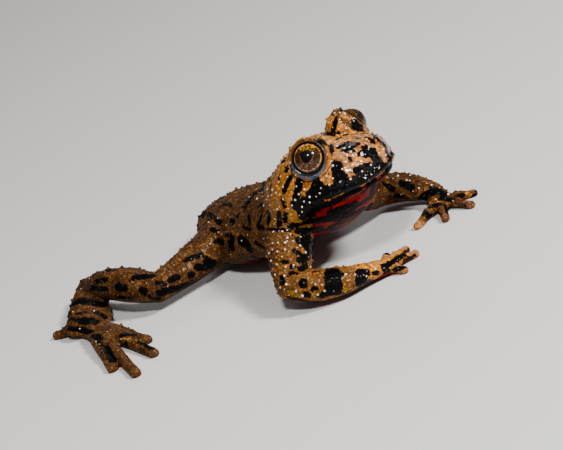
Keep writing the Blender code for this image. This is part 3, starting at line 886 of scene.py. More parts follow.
GOLD = strokes(
    Region.BODY,
    shoulder_forearm_and_foot=(
        (263, 185, 271, 180.5, 3), (254, 190.5, 260, 187, 2.4), (295.7, 219.4, 300.4, 218.9, 2.2),
        (289.7, 215, 293, 214, 2.6), (289.7, 292, 292.7, 293.6, 2.5), (295.7, 294.9, 297.7, 295.4, 2.3),
        (300.5, 294.6, 303, 295.6, 2.5), (314.3, 294.3, 318.8, 295, 2.7),
        (329.4, 293.5, 332.4, 293.9, 2.6), (343, 290.6, 347, 289.6, 2.6),
        (354.4, 287.7, 357.4, 286.9, 2.2), (123.3, 338.9, 131, 339.6, 0.9),
        (138, 340.3, 140.4, 340.8, 0.7),
    ),
)

ORANGE = strokes(
    Region.BODY,
    jaw_corner_to_chin=(
        (322, 203.8, 340, 196, 0.5), (340, 196, 352, 190.8, 0.5),
    ),
    bars_and_before_eye=(
        (306.3, 176.5, 305.6, 187.5, 2.3), (291.4, 183, 289, 196, 2), (327, 157.5, 337, 152.5, 2.2),
        (328.5, 163, 331, 178, 2), (353.5, 163, 362, 160.5, 2), (374, 143, 382, 152, 1.5),
    ),
    ankle_and_fingers=(
        (114.8, 302.7, 116, 310, 1.8), (389, 267.5, 393.7, 271.3, 1.4), (379, 268, 381, 270, 1.4),
        (466.5, 192.5, 470.5, 195.5, 2), (436, 200, 442, 201.5, 1.4),
    ),
)

# Warts that catch the light, by pixel; their pale tips are partly painted highlight
GLINTING_WARTS = (
    (292.2, 144.8), (298.7, 140.2), (303.3, 138.3), (308.3, 138.3), (285, 164.3), (296.4, 174.6),
    (281.6, 177), (288.8, 176.9), (294.2, 180), (302.6, 181.9), (311, 181.1), (292.6, 184.9),
    (297.6, 186.1), (291.5, 191.4), (304.5, 189.5), (309.8, 190.7), (299.9, 193.3), (283.8, 199.1),
    (309.8, 196.4), (304.5, 201.4), (319.8, 193), (317.9, 189.1), (325.1, 197.9), (330.1, 184.9),
    (322.1, 180.3), (326.7, 176.5), (318.3, 175.7), (324.4, 171.9), (340.1, 182.2), (350.4, 178.4),
    (361.5, 171.5), (365.3, 175.4), (370.3, 165.4), (369.1, 159.7), (368.4, 148.2), (372.6, 147.4),
    (377.6, 153.2), (382.1, 150.1), (378.7, 139), (302.2, 210.9), (289.2, 208.3), (286.1, 211.3),
    (292.6, 213.2), (335.1, 113.8), (339.7, 113), (344.7, 114.2), (342, 118.4), (346.2, 128.3),
    (349.2, 125.2), (280, 231.6), (287, 238.7), (278.3, 243.7), (293.6, 241.2), (292.8, 245.7),
    (273.3, 249.7), (282.4, 256.9), (304.8, 252.8), (296.5, 262.5), (271.7, 260.7), (277, 264.6),
    (285.3, 267.7), (292.8, 266), (275.8, 274.6), (291.1, 277.1), (284.9, 276.6), (292.8, 282.2),
    (286.6, 284), (280.8, 287.6), (301.5, 279.3), (310.6, 275.7), (315.4, 283.9), (322.4, 284.5),
    (324.3, 290.9), (296.9, 290.9), (345.9, 275.4), (354.3, 275.7), (347.5, 280.1), (343, 273.9),
    (365.4, 276.8), (374.5, 269.8), (372.8, 278.5), (277, 186), (272.5, 195), (265, 205), (258, 200),
    (268, 166), (274, 159), (262, 176), (250, 198), (276, 219), (281, 195.5), (292.5, 204.5),
    (285.5, 209), (269.5, 196), (274, 190.5), (287.5, 231), (296, 199), (300, 187.5), (315.5, 171.5),
    (333.5, 178), (342.5, 169.5), (356.5, 161), (347, 156.5), (352.5, 165.5), (358.5, 150),
    (330.5, 186.5), (322, 188), (376, 156.5), (271, 205), (279, 228), (398, 177), (410.5, 176.5),
    (426.5, 184.5), (431.5, 186), (439, 188.5), (447.5, 195), (452.5, 193.5), (435.5, 199.5),
    (387, 178.5), (419, 189), (468, 191.5), (284, 178), (333.5, 166.5), (341, 158), (337, 158),
    (346, 162), (352, 171.5), (331, 181), (350, 147.5), (345, 149.5), (276.5, 192.5), (290.5, 201),
    (311.5, 181), (287, 242), (273, 243.5), (282.5, 233), (291, 234.5), (300, 237.5), (269, 189.5),
    (263.5, 193), (285, 250.5), (278, 252), (299, 246.5), (288.5, 248.5), (268, 199.5),
)

CREASES = strokes(
    Region.BODY,
    neck_elbow_and_groin=(
        (259, 227.5, 276, 230.6, 1), (276, 230.6, 298, 231.5, 1), (296, 231.5, 310, 226.5, 1),
        (286, 204, 291.5, 216, 0.8), (300, 271.5, 309, 267.5, 0.8), (214, 254, 236, 262, 0.9),
    ),
)


def placed(name: str, shape: BMesh) -> Object:
    """Object that holds a shape, linked to the scene.

    Args:
        name: Name of the object.
        shape: The shape, which is freed.

    Returns:
        The object.
    """
    mesh = bpy.data.meshes.new(name)
    shape.to_mesh(mesh)
    shape.free()
    item = bpy.data.objects.new(name, mesh)
    bpy.context.scene.collection.objects.link(item)
    return item


def joined(name: str, shapes: list) -> Object:
    """Object that holds all the given shapes, still overlapping.

    Args:
        name: Name of the object.
        shapes: The shapes, which are freed.

    Returns:
        The object.
    """
    whole = bmesh.new()
    for shape in shapes:
        scratch = bpy.data.meshes.new("scratch")
        shape.to_mesh(scratch)
        shape.free()
        whole.from_mesh(scratch)
        bpy.data.meshes.remove(scratch)
    return placed(name, whole)


def settle(item: Object) -> None:
    """Apply an object's modifiers.

    Args:
        item: The object.
    """
    depsgraph = bpy.context.evaluated_depsgraph_get()
    depsgraph.update()
    mesh = bpy.data.meshes.new_from_object(item.evaluated_get(depsgraph))
    item.modifiers.clear()
    item.data = mesh


def read_points(mesh: Mesh) -> np.ndarray:
    """Places of a mesh's vertices.

    Args:
        mesh: The mesh.

    Returns:
        One place in each row.
    """
    values = np.empty(len(mesh.vertices) * 3)
    mesh.vertices.foreach_get("co", values)
    return values.reshape(-1, 3)


def read_normals(mesh: Mesh) -> np.ndarray:
    """Outward directions of a mesh's vertices.

    Args:
        mesh: The mesh.

    Returns:
        One unit vector in each row.
    """
    values = np.empty(len(mesh.vertices) * 3)
    mesh.vertex_normals.foreach_get("vector", values)
    return values.reshape(-1, 3)


def write_points(mesh: Mesh, points: np.ndarray) -> None:
    """Move a mesh's vertices."""
    mesh.vertices.foreach_set("co", points.reshape(-1))
    mesh.update()


def write_values(mesh: Mesh, name: str, values: np.ndarray) -> None:
    """Store one number for each vertex under a name that materials read."""
    layer = mesh.attributes.new(name, "FLOAT", "POINT")
    layer.data.foreach_set("value", np.asarray(values, dtype=np.float32))


def in_metres(item: Object, shift: Vector) -> None:
    """Bring an object's mesh from body millimetres into the frame.

    Args:
        item: The object.
        shift: Body millimetres to the frame's millimetres.
    """
    points = (read_points(item.data) + np.array(shift)) * MM
    write_points(item.data, points)
    item.data.shade_smooth()


@dataclass
class Skin:
    """The whole skin of the toad in one piece, from snout to toes."""

    head: Head
    eye: EyeShape
    trunk: Trunk
    limbs: Limbs
    voxel: float = 0.17
    soften_factor: float = 0.5
    soften_rounds: int = 8
    triangles: int = 196000
    seed: int = 5
    groove_depth: float = 0.34
    groove_width: float = 0.26
    groove_inset: float = 0.55
    groove_steps: int = 8
    nostril_rim_height: float = 0.16
    nostril_rim_width: float = 0.75
    nostril_depth: float = 0.5
    nostril_width: float = 0.3
    crease_depth: float = 0.35
    crease_width: float = 0.45
    crease_steps: int = 12
    underside_share: float = 0.3
    underside_edge: tuple = (-0.5, 0.1)
    digit_share: float = 0.25
    digit_edge: tuple = (0.6, 1.6)
    lumps_per_mm: float = 0.75
    lump_height: float = 0.14
    granule_room: float = 0.6
    granule_heights: tuple = (0.02, 0.1)
    granule_widths: tuple = (0.16, 0.27)
    item: Object = None

    def melt(self) -> None:
        """Melt all the forms into one closed skin."""
        shapes = [self.head.skull(), self.trunk.shape()]
        shapes += [self.head.lip(*spec) for spec in self.head.lips]
        for side in Side:
            shapes.append(Loft.ball(self.eye.pose(self.head, side).translation, self.eye.lid_radius))
        shapes += self.limbs.shapes()
        for extremity in HANDS_AND_FEET:
            shapes += extremity.shapes()
        self.item = joined("toad_skin", shapes)
        melt = self.item.modifiers.new("melt", "REMESH")
        melt.mode = "VOXEL"
        melt.voxel_size = self.voxel
        soften = self.item.modifiers.new("soften", "SMOOTH")
        soften.factor = self.soften_factor
        soften.iterations = self.soften_rounds
        settle(self.item)

    def thin(self) -> None:
        """Collapse the flattest faces until the skin keeps to its count of triangles."""
        mesh = self.item.data
        mesh.calc_loop_triangles()
        thin = self.item.modifiers.new("thin", "DECIMATE")
        thin.ratio = min(1.0, self.triangles / len(mesh.loop_triangles))
        thin.use_collapse_triangulate = True
        settle(self.item)
        log.info("skin thinned: %d triangles", len(self.item.data.polygons))

    def raise_near(self, centres: np.ndarray, heights: object, widths: object) -> None:
        """Raise round swellings on the skin.

        Args:
            centres: Their places.
            heights: Height of each or of all, negative for a hollow.
            widths: Half width of each or of all.
        """
        mesh = self.item.data
        points, normals = read_points(mesh), read_normals(mesh)
        tree = near_tree(centres)
        found = [tree.find(point) for point in points]
        nearest = np.array([hit[1] for hit in found])
        away = np.array([hit[2] for hit in found])
        tall = np.broadcast_to(heights, len(centres))[nearest]
        wide = np.broadcast_to(widths, len(centres))[nearest]
        points += normals * (tall * np.exp(-(away / wide) ** 2))[:, None]
        points[:, 2] = np.maximum(points[:, 2], 0.0)
        write_points(mesh, points)

    def carve(self, camera: PhotoCamera) -> None:
        """Mouth line, nostrils, creases and grain of the skin, and the openings for the eyes.

        Args:
            camera: Camera of the photograph, for the creases' places.
        """
        path = np.array([tuple(point) for point in self.head.lip_path(0.0, self.groove_inset)])
        groove = np.concatenate([
            np.linspace(here, there, self.groove_steps, endpoint=False)
            for here, there in zip(path, path[1:])
        ])
        self.raise_near(groove, -self.groove_depth, self.groove_width)
        tree = self.surface()
        holes = np.array([tree.find_nearest(self.head.nostril_at(side))[0] for side in Side])
        self.raise_near(holes, self.nostril_rim_height, self.nostril_rim_width)
        self.raise_near(holes, -self.nostril_depth, self.nostril_width)
        tree = self.surface()
        folds = [self.cast(tree, camera, crease) for crease in CREASES]
        folds = np.concatenate([np.linspace(*ends, self.crease_steps) for ends in folds if ends])
        self.raise_near(folds, -self.crease_depth, self.crease_width)
        self.roughen()
        for side in Side:
            self.open_eye(side)

    def surface(self) -> BVHTree:
        """The skin as it stands, for finding places on it.

        Returns:
            A tree of its faces, which all have four corners.
        """
        mesh = self.item.data
        corners = np.empty(len(mesh.polygons) * 4, dtype=np.int32)
        mesh.polygons.foreach_get("vertices", corners)
        points = [Vector(point) for point in read_points(mesh)]
        return BVHTree.FromPolygons(points, corners.reshape(-1, 4).tolist())

    @staticmethod
    def cast(tree: BVHTree, camera: PhotoCamera, stroke: Stroke) -> tuple:
        """Where a stroke's two ends lie on the skin.

        Args:
            tree: The skin's faces.
            camera: Camera of the photograph.
            stroke: The stroke.

        Returns:
            The two places, or nothing where either end misses the skin.
        """
        eye = camera.place()
        hits = [tree.ray_cast(eye, camera.ray(pixel))[0] for pixel in (stroke.start, stroke.end)]
        if None in hits:
            return ()
        return tuple(np.array(hit) for hit in hits)

    def roughen(self) -> None:
        """Low lumps and close granules over the whole skin, fainter underneath and on digits."""
        mesh = self.item.data
        points, normals = read_points(mesh), read_normals(mesh)
        least = self.underside_share
        upper = least + (1 - least) * smooth_step(*self.underside_edge, normals[:, 2])
        least = self.digit_share
        upper *= least + (1 - least) * smooth_step(*self.digit_edge, points[:, 2])
        lumps = np.array([noise.noise(Vector(point) * self.lumps_per_mm) for point in points])
        points += normals * (self.lump_height * lumps * upper)[:, None]
        write_points(mesh, points)
        draw = np.random.default_rng(self.seed)
        rooms = self.granule_room * draw.uniform(*ROOM_SPREAD, len(points))
        kept = spread(points, rooms, self.seed)
        heights = draw.uniform(*self.granule_heights, len(kept)) * upper[kept]
        widths = draw.uniform(*self.granule_widths, len(kept))
        self.raise_near(points[kept], heights, widths)
        log.info("granules: %d", len(kept))

    def open_eye(self, side: Side) -> None:
        """Push the skin between the lids to behind the eyeball.

        Args:
            side: Which of the two eyes.
        """
        mesh = self.item.data
        points = read_points(mesh)
        pose = self.eye.pose(self.head, side)
        turn = pose.to_3x3()
        local = points @ np.array(turn) - np.array(turn.transposed() @ pose.translation)
        away = np.hypot(local[:, 0], local[:, 1])
        inner = self.eye.radius - self.eye.socket_gap
        inside = (away < self.eye.opening) & (local[:, 2] > 0)
        floor = np.sqrt(np.maximum(inner ** 2 - away ** 2, 0.0))
        local[inside, 2] = np.minimum(local[inside, 2], floor[inside])
        rim = (away >= self.eye.opening) & (away < self.eye.rim_reach) & (local[:, 2] > 0)
        inside |= rim
        local[rim, 2] = np.minimum(local[rim, 2], self.eye.rim_height)
        points[inside] = local[inside] @ np.array(turn).T + np.array(pose.translation)
        write_points(mesh, points)


@dataclass
class Markings:
    """Black, gold and orange marks and the red underside, stored on the skin's vertices."""

    skin: Skin
    camera: PhotoCamera
    seed: int = 7
    longest: float = 2.5
    turned_away: float = 0.1
    spacing: float = 2.5
    clear_share: float = 0.8
    sight_lift: float = 0.05
    underside: float = -0.35
    underside_room: float = 0.75
    underside_width: float = 1.3
    lean: tuple = (0.0, 1.0, 0.0)
    lean_spread: tuple = (0.6, 0.5, 0.3)
    reaches: tuple = (0.1, 1.5)
    widths: tuple = (0.3, 0.7)
    margin: float = 1.2
    shallowest: float = -1.0
    lip_edge: tuple = (0.1, 0.35)
    throat_back_edge: tuple = (0.6, 2.6)
    throat_low_edge: tuple = (-8.4, -7.4)
    throat_side_edge: tuple = (9.0, 8.2)
    spine_x: float = 1.5
    limb_edge: tuple = (5.5, 7.5)
    limb_turn: float = 0.42
    belly_edge: tuple = (-0.25, -0.6)
    face_back_edge: tuple = (0.5, 1.5)
    face_low_edge: tuple = (-0.3, 0.1)
    finger_glow: float = 0.5
    toe_glow: float = 0.2
    glow_edge: tuple = (1.6, 0.4)
    # The head's share fades out over the crown: painted shade that darkens the skin behind the head
    head_edge: tuple = (-7.0, 4.5)
    cheek_edge: tuple = (7.8, 9.2)
    cheek_fade: float = 0.65
    # Extra fade of the head's amber on the far side: painted shade
    far_side_shade: float = 0.35
    snout_edge: tuple = (7.5, 11.5)
    off_axis: float = 9.0
    black: list = field(default_factory=list)
    gold: list = field(default_factory=list)
    orange: list = field(default_factory=list)

    def measure(self) -> None:
        """Find the photograph's marks on the skin, and mirror those of the head."""
        tree = self.skin.surface()
        head = self.skin.head.frame()
        back = head.inverted()
        kinds = ((self.black, HEAD_BLACK + BODY_BLACK), (self.gold, GOLD), (self.orange, ORANGE))
        for target, marks in kinds:
            for stroke in [piece for mark in marks for piece in mark.pieces()]:
                ends = self.skin.cast(tree, self.camera, stroke)
                if not ends or np.linalg.norm(ends[0] - ends[1]) > self.longest:
                    continue
                depth = (Vector(ends[0]) - self.camera.place()).length
                width = stroke.half_width * depth / self.camera.distance / self.camera.pixels_per_mm
                target.append((ends[0], ends[1], width))
                if stroke.region is Region.HEAD:
                    self.mirror(tree, head, back, ends, width)
        log.info("marks measured: %d black, %d gold", len(self.black), len(self.gold))

    def mirror(self, tree: BVHTree, head: Matrix, back: Matrix, ends: tuple, width: float) -> None:
        """Add a head mark's twin on the far cheek, where the photograph doesn't look.

        Args:
            tree: The skin's faces.
            head: Matrix from head axes to body axes.
            back: Matrix from body axes to head axes.
            ends: The mark's two ends.
            width: Its half width.
        """
        twins = []
        for end in ends:
            place = back @ Vector(end)
            place.y = -place.y
            spot, normal, _, _ = tree.find_nearest(head @ place)
            if place.y < 0 or normal.dot(self.camera.axes()[2]) > self.turned_away:
                return
            twins.append(np.array(spot))
        self.black.append((twins[0], twins[1], width))

    def scatter(self) -> None:
        """Add seeded blotches where the photograph doesn't look."""
        draw = np.random.default_rng(self.seed)
        mesh = self.skin.item.data
        points, normals = read_points(mesh), read_normals(mesh)
        under = normals[:, 2] < self.underside
        rooms = self.spacing * np.where(under, self.underside_room, 1.0)
        rooms *= draw.uniform(*ROOM_SPREAD, len(points))
        measured = near_tree(np.array([0.5 * (start + end) for start, end, _ in self.black]))
        away = np.array([measured.find(point)[2] for point in points])
        rooms[away < self.clear_share * self.spacing] = 0
        tree = self.skin.surface()
        eye = self.camera.place()
        count = 0
        for index in spread(points, rooms, self.seed):
            point, normal = Vector(points[index]), Vector(normals[index])
            sight = point + normal * self.sight_lift
            faces_eye = normal.dot(eye - sight) > 0
            if faces_eye and tree.ray_cast(sight, (eye - sight).normalized())[0] is None:
                continue
            lean = Vector(draw.normal(self.lean, self.lean_spread))
            lean = (lean - normal * lean.dot(normal)).normalized()
            reach = lean * draw.uniform(*self.reaches)
            width = draw.uniform(*self.widths) * (self.underside_width if under[index] else 1.0)
            self.black.append((np.array(point - reach), np.array(point + reach), width))
            count += 1
        log.info("blotches scattered: %d", count)

    def depth_in(self, points: np.ndarray, marks: list) -> np.ndarray:
        """How far inside the nearest mark each point lies, in millimetres, negative outside.

        Args:
            points: Places on the skin.
            marks: Rows of (start, end, half width).

        Returns:
            The depths.
        """
        depth = np.full(len(points), self.shallowest)
        for start, end, width in marks:
            low = np.minimum(start, end) - width - self.margin
            high = np.maximum(start, end) + width + self.margin
            near = np.all((points > low) & (points < high), axis=1)
            if near.any():
                inside = width - segment_distance(points[near], start, end)
                depth[near] = np.maximum(depth[near], inside)
        return depth

    def values(self, points: np.ndarray, normals: np.ndarray) -> dict:
        """Numbers that the skin's materials read, by name.

        Args:
            points: Places on the skin.
            normals: Outward directions there.

        Returns:
            The signed depth in black, gold and orange marks, the shares of red underside, of a
            digit's tip, of head and of snout, and the distance from an eye's axis.
        """
        head = self.skin.head
        local = moved(points, head.frame().inverted())
        forward, height = local[:, 0], local[:, 2]
        aside = np.abs(local[:, 1])
        mouth = head.mouth_height(forward)
        throat = smooth_step(*self.lip_edge, mouth - height)
        throat *= smooth_step(*self.throat_back_edge, forward)
        throat *= smooth_step(*self.throat_low_edge, height)
        throat *= smooth_step(*self.throat_side_edge, aside)
        limb = smooth_step(*self.limb_edge, np.abs(points[:, 0] - self.spine_x))
        under = smooth_step(*self.belly_edge, normals[:, 2] + self.limb_turn * limb)
        face = smooth_step(*self.face_back_edge, forward)
        face *= smooth_step(*self.face_low_edge, height - mouth)
        cheek_and_far_shade = self.cheek_fade * smooth_step(*self.cheek_edge, aside)
        # The far side loses more of the head's amber and turns darker: painted shade
        cheek_and_far_shade += self.far_side_shade * smooth_step(*self.cheek_edge, local[:, 1])
        seen = [moved(points, self.skin.eye.pose(head, side).inverted()) for side in Side]
        rims = [
            np.where(place[:, 2] > 0, np.hypot(place[:, 0], place[:, 1]), self.off_axis)
            for place in seen
        ]
        glow = []
        for part in HANDS_AND_FEET:
            share = self.toe_glow if part.webbed else self.finger_glow
            for tip in part.tips:
                away = np.linalg.norm(points - np.array((*tip, part.digit_height)), axis=1)
                glow.append(share * smooth_step(*self.glow_edge, away))
        return {
            "black": self.depth_in(points, self.black),
            "gold": self.depth_in(points, self.gold),
            "orange": self.depth_in(points, self.orange),
            "red": np.maximum(throat, under * (1 - face)),
            "tip": np.max(glow, axis=0),
            "head": smooth_step(*self.head_edge, forward) * (1 - cheek_and_far_shade),
            "snout": smooth_step(*self.snout_edge, forward),
            "lid": np.min(rims, axis=0),
        }


@dataclass
class Warts:
    """Warts of one part of the body with pale tips, partly their own colour and partly painted
    highlight, joined into one mesh that sits in the skin.
    """

    skin: Skin
    markings: Markings
    region: Region
    seed: int = 11
    head_room: float = 1.15
    arm_room: float = 0.95
    body_room: float = 1.2
    leg_room: float = 1.35
    room_spread: tuple = (0.7, 1.25)
    seen_room: float = 0.6
    head_back: float = 0.5
    head_low: float = 4.0
    spine_x: float = 2.0
    leg_x: float = 9.5
    arm_x: float = 6.0
    arm_y: float = 4.0
    underside: float = -0.15
    floor_clear: float = 1.25
    lip_back: float = 1.5
    lip_clear: float = 0.5
    lid_reach: float = 2.45
    nostril_clear: float = 0.8
    radii: tuple = (0.12, 0.25)
    radius_power: float = 1.5
    measured_radii: tuple = (0.15, 0.24)
    mound_height: float = 0.55
    mound_width: float = 1.7
    sink: float = 0.3
    widths: tuple = (0.8, 1.1)
    heights: tuple = (0.9, 1.2)
    # Shares of warts with a pale tip, partly their own colour and partly painted highlight
    pearly_glint_shares: tuple = (0.4, 0.12)
    pearly_glint_tones: tuple = (0.85, 1.1)
    plain_tones: tuple = (0.3, 0.7)
    patch_size: float = 0.0015
    uv_margin: float = 0.01
    item: Object = None

    def rooms(self, points: np.ndarray, normals: np.ndarray, local: np.ndarray) -> np.ndarray:
        """Clear distance round a wart at each place, or 0 where none grows.

        Args:
            points: Places on the skin.
            normals: Outward directions there.
            local: The places in head axes.

        Returns:
            The distances.
        """
        head = self.skin.head
        x, y, z = points.T
        forward, height = local[:, 0], local[:, 2]
        on_head = (forward > self.head_back) & (z > self.head_low)
        rooms = np.full(len(points), self.body_room)
        rooms[np.abs(x - self.spine_x) > self.leg_x] = self.leg_room
        rooms[(y < self.arm_y) & (np.abs(x) > self.arm_x)] = self.arm_room
        rooms[on_head] = self.head_room
        rooms[(normals[:, 2] < self.underside) | (z < self.floor_clear)] = 0
        below_lip = height < head.mouth_height(forward) + self.lip_clear
        rooms[on_head & (forward > self.lip_back) & below_lip] = 0
        for side in Side:
            seen = moved(points, self.skin.eye.pose(head, side).inverted())
            lid = np.hypot(seen[:, 0], seen[:, 1]) < self.lid_reach
            rooms[lid & (seen[:, 2] > 0)] = 0
            nostril = np.linalg.norm(points - np.array(head.nostril_at(side)), axis=1)
            rooms[nostril < self.nostril_clear] = 0
        return np.where(on_head == (self.region is Region.HEAD), rooms, 0)

    def measured(self, points: np.ndarray, rooms: np.ndarray, camera: PhotoCamera) -> list:
        """Warts seen in the photograph.

        Args:
            points: Places on the skin.
            rooms: Clear distance round a wart at each, set to 0 near those found.
            camera: Camera of the photograph.

        Returns:
            Indexes of the points that lie nearest to them.
        """
        tree, lookup = self.skin.surface(), near_tree(points)
        kept = []
        for pixel in GLINTING_WARTS:
            hit = tree.ray_cast(camera.place(), camera.ray(pixel))[0]
            if hit is None:
                continue
            index = lookup.find(hit)[1]
            if rooms[index] > 0:
                kept.append(index)
                reach = self.seen_room * rooms[index]
                for _, other, _ in lookup.find_range(points[index], reach):
                    rooms[other] = 0
        return kept

    def build(self, camera: PhotoCamera) -> None:
        """Raise the skin under each wart and set a small dome on it.

        Args:
            camera: Camera of the photograph, for the places of the warts that it shows.
        """
        draw = np.random.default_rng(self.seed)
        mesh = self.skin.item.data
        points, normals = read_points(mesh), read_normals(mesh)
        rooms = self.rooms(points, normals, moved(points, self.skin.head.frame().inverted()))
        seen = self.measured(points, rooms, camera)
        found = spread(points, rooms * draw.uniform(*self.room_spread, len(points)), self.seed)
        kept = seen + found
        smallest, largest = self.radii
        sizes = np.concatenate([
            draw.uniform(*self.measured_radii, len(seen)),
            smallest + (largest - smallest) * draw.uniform(0, 1, len(found)) ** self.radius_power,
        ])
        share_of = dict(zip(Region, self.pearly_glint_shares))
        # Pale tips: partly the warts' own colour, partly painted highlight; every wart seen catching the
        # light gets one
        pearly_glint = draw.uniform(0, 1, len(kept)) < share_of[self.region]
        pearly_glint[:len(seen)] = True
        self.skin.raise_near(points[kept], self.mound_height * sizes, self.mound_width * sizes)
        points, normals = read_points(mesh), read_normals(mesh)
        shape = bmesh.new()
        pearl_glint = shape.verts.layers.float.new("pearl_glint")
        owners = []
        for index, size, glint_tipped in zip(kept, sizes, pearly_glint):
            normal = Vector(normals[index])
            centre = Vector(points[index]) - normal * (size * self.sink)
            turn = UP.rotation_difference(normal).to_matrix().to_4x4()
            wide, high = draw.uniform(*self.widths), draw.uniform(*self.heights)
            place = Matrix.Translation(centre) @ turn @ Matrix.Diagonal((1.0, wide, high, 1.0))
            made = bmesh.ops.create_icosphere(shape, subdivisions=2, radius=size, matrix=place)
            share = draw.uniform(*(self.pearly_glint_tones if glint_tipped else self.plain_tones))
            for vertex in made["verts"]:
                vertex[pearl_glint] = share * (vertex.co - centre).dot(normal) / size
                owners.append(index)
        self.item = placed(f"{self.region.value}_warts", shape)
        for name, values in self.markings.values(points[owners], normals[owners]).items():
            write_values(self.item.data, name, values)
        self.unwrap(points, points[owners], normals[owners])
        log.info("%s: %d, %d seen", self.item.name, len(kept), len(seen))

    def unwrap(self, skin: np.ndarray, roots: np.ndarray, normals: np.ndarray) -> None:
        """Give each wart a small patch at its root's place on the skin laid out flat.

        The skin's upper side fills the left half of the map and its underside the right half.

        Args:
            skin: Places on the skin.
            roots: Place of its root for each vertex of the warts.
            normals: Outward direction there.
        """
        mesh = self.item.data
        low, high = skin.min(axis=0), skin.max(axis=0)
        flat = (roots - low) / (high - low)
        margin = self.uv_margin
        across = margin + (0.5 - 2 * margin) * flat[:, 0] + 0.5 * (normals[:, 2] < 0)
        along = margin + (1.0 - 2 * margin) * flat[:, 1]
        patch = self.patch_size * (read_points(mesh) - roots) / self.measured_radii[1]
        uv = np.stack([across + patch[:, 0], along + patch[:, 1]], axis=1)
        corners = np.empty(len(mesh.loops), dtype=np.int32)
        mesh.loops.foreach_get("vertex_index", corners)
        layer = mesh.uv_layers.new(name="OFBake")
        layer.data.foreach_set("uv", uv[corners].astype(np.float32).reshape(-1))


@dataclass
class EyePiece:
    """A piece made round one eye's axis."""

    head: Head
    shape: EyeShape
    side: Side
    item: Object = None

    def set_in_head(self, piece: BMesh, name: str) -> None:
        """Turn the finished piece into its place in the head.

        Args:
            piece: The piece in the eye's own axes.
            name: Its name, after that of its side.
        """
        pose = self.shape.pose(self.head, self.side)
        bmesh.ops.transform(piece, matrix=pose, verts=piece.verts)
        self.item = placed(f"{self.side.name.lower()}_{name}", piece)
        log.info("%s in place", self.item.name)


@dataclass
class Eyeball(EyePiece):
    """One eye: a ball with the swell of its cornea, and each point's place across its axis."""

    segments: int = 96
    rings: int = 64

    def build(self) -> None:
        """Make the ball and store its own plane for the iris."""
        ball = bmesh.new()
        bmesh.ops.create_uvsphere(
            ball, u_segments=self.segments, v_segments=self.rings, radius=self.shape.radius
        )
        plane = ball.verts.layers.float_vector.new("plane")
        for vertex in ball.verts:
            angle = vertex.co.angle(UP)
            vertex[plane] = vertex.co / self.shape.radius
            if angle < self.shape.cornea_angle:
                swell = (1 - (angle / self.shape.cornea_angle) ** 2) ** 2
                vertex.co *= 1 + self.shape.cornea_rise * swell / self.shape.radius
        bmesh.ops.translate(ball, verts=ball.verts, vec=(0, 0, self.shape.proud))
        self.set_in_head(ball, "eyeball")


@dataclass
class Lids(EyePiece):
    """Rim of skin round one eye, thicker below, that hugs the ball."""

    thickness: float = 0.13
    lower_swell: float = 0.26
    height: float = 1.47
    inner: float = 2.06
    swell_power: float = 1.5
    extra_height: float = 0.05
    lower_drop: float = 0.12
    profile_sides: int = 14
    spin_radius: float = 4.0
    spin_steps: int = 96

    def build(self) -> None:
        """Spin a round profile about the eye's axis, then swell it below."""
        rim = bmesh.new()
        bmesh.ops.create_circle(rim, segments=self.profile_sides, radius=1.0)
        turn = Matrix.Rotation(math.radians(90.0), 4, "X")
        bmesh.ops.transform(rim, matrix=turn, verts=rim.verts)
        bmesh.ops.translate(rim, verts=rim.verts, vec=(self.spin_radius, 0, 0))
        bmesh.ops.spin(
            rim, geom=rim.verts[:] + rim.edges[:], cent=(0, 0, 0), axis=(0, 0, 1),
            angle=math.tau, steps=self.spin_steps, use_merge=True,
        )
        lower = rim.verts.layers.float.new("lower")
        inside = rim.verts.layers.float.new("inside")
        for vertex in rim.verts:
            away = math.hypot(vertex.co.x, vertex.co.y)
            angle = math.atan2(vertex.co.y, vertex.co.x)
            below = max(0.0, -math.sin(angle)) ** self.swell_power
            across, rise = away - self.spin_radius, vertex.co.z
            thick = self.thickness + self.lower_swell * below
            radius = self.inner + thick * (1 + across)
            height = self.height + rise * (self.thickness + self.extra_height)
            height -= self.lower_drop * below * (1 + across)
            vertex[lower] = below
            vertex[inside] = -across
            vertex.co = (radius * math.cos(angle), radius * math.sin(angle), height)
        bmesh.ops.recalc_face_normals(rim, faces=rim.faces)
        self.set_in_head(rim, "lids")


class Wire:
    """A node socket that takes part in sums written as Python expressions."""

    def __init__(self, nodes: "NodeBench", socket: NodeSocket) -> None:
        """Wrap an output socket of a node on the bench."""
        self.nodes = nodes
        self.socket = socket

    def _math(self, operation: str, *values: object) -> "Wire":
        """Result of a Math node on the given numbers or wires."""
        return self.nodes.add("ShaderNodeMath", {"operation": operation}, values)

    def __add__(self, other: object) -> "Wire":
        """Sum."""
        return self._math("ADD", self, other)

    def __radd__(self, other: object) -> "Wire":
        """Sum with a number on the left."""
        return self._math("ADD", other, self)

    def __sub__(self, other: object) -> "Wire":
        """Difference."""
        return self._math("SUBTRACT", self, other)

    def __rsub__(self, other: object) -> "Wire":
        """Difference from a number on the left."""
        return self._math("SUBTRACT", other, self)

    def __mul__(self, other: object) -> "Wire":
        """Product."""
        return self._math("MULTIPLY", self, other)

    def __rmul__(self, other: object) -> "Wire":
        """Product with a number on the left."""
        return self._math("MULTIPLY", other, self)

    def above(self, low: float, high: float) -> "Wire":
        """Share from 0 at low to 1 at high, with soft ends."""
        settings = {"interpolation_type": "SMOOTHSTEP", "clamp": True}
        return self.nodes.add("ShaderNodeMapRange", settings, (self, low, high, 0.0, 1.0))

    def size(self) -> "Wire":
        """Value without its sign."""
        return self._math("ABSOLUTE", self)

    def root(self) -> "Wire":
        """Square root."""
        return self._math("SQRT", self)

    def most(self, other: object) -> "Wire":
        """The larger of two."""
        return self._math("MAXIMUM", self, other)

    def least(self, other: object) -> "Wire":
        """The smaller of two."""
        return self._math("MINIMUM", self, other)


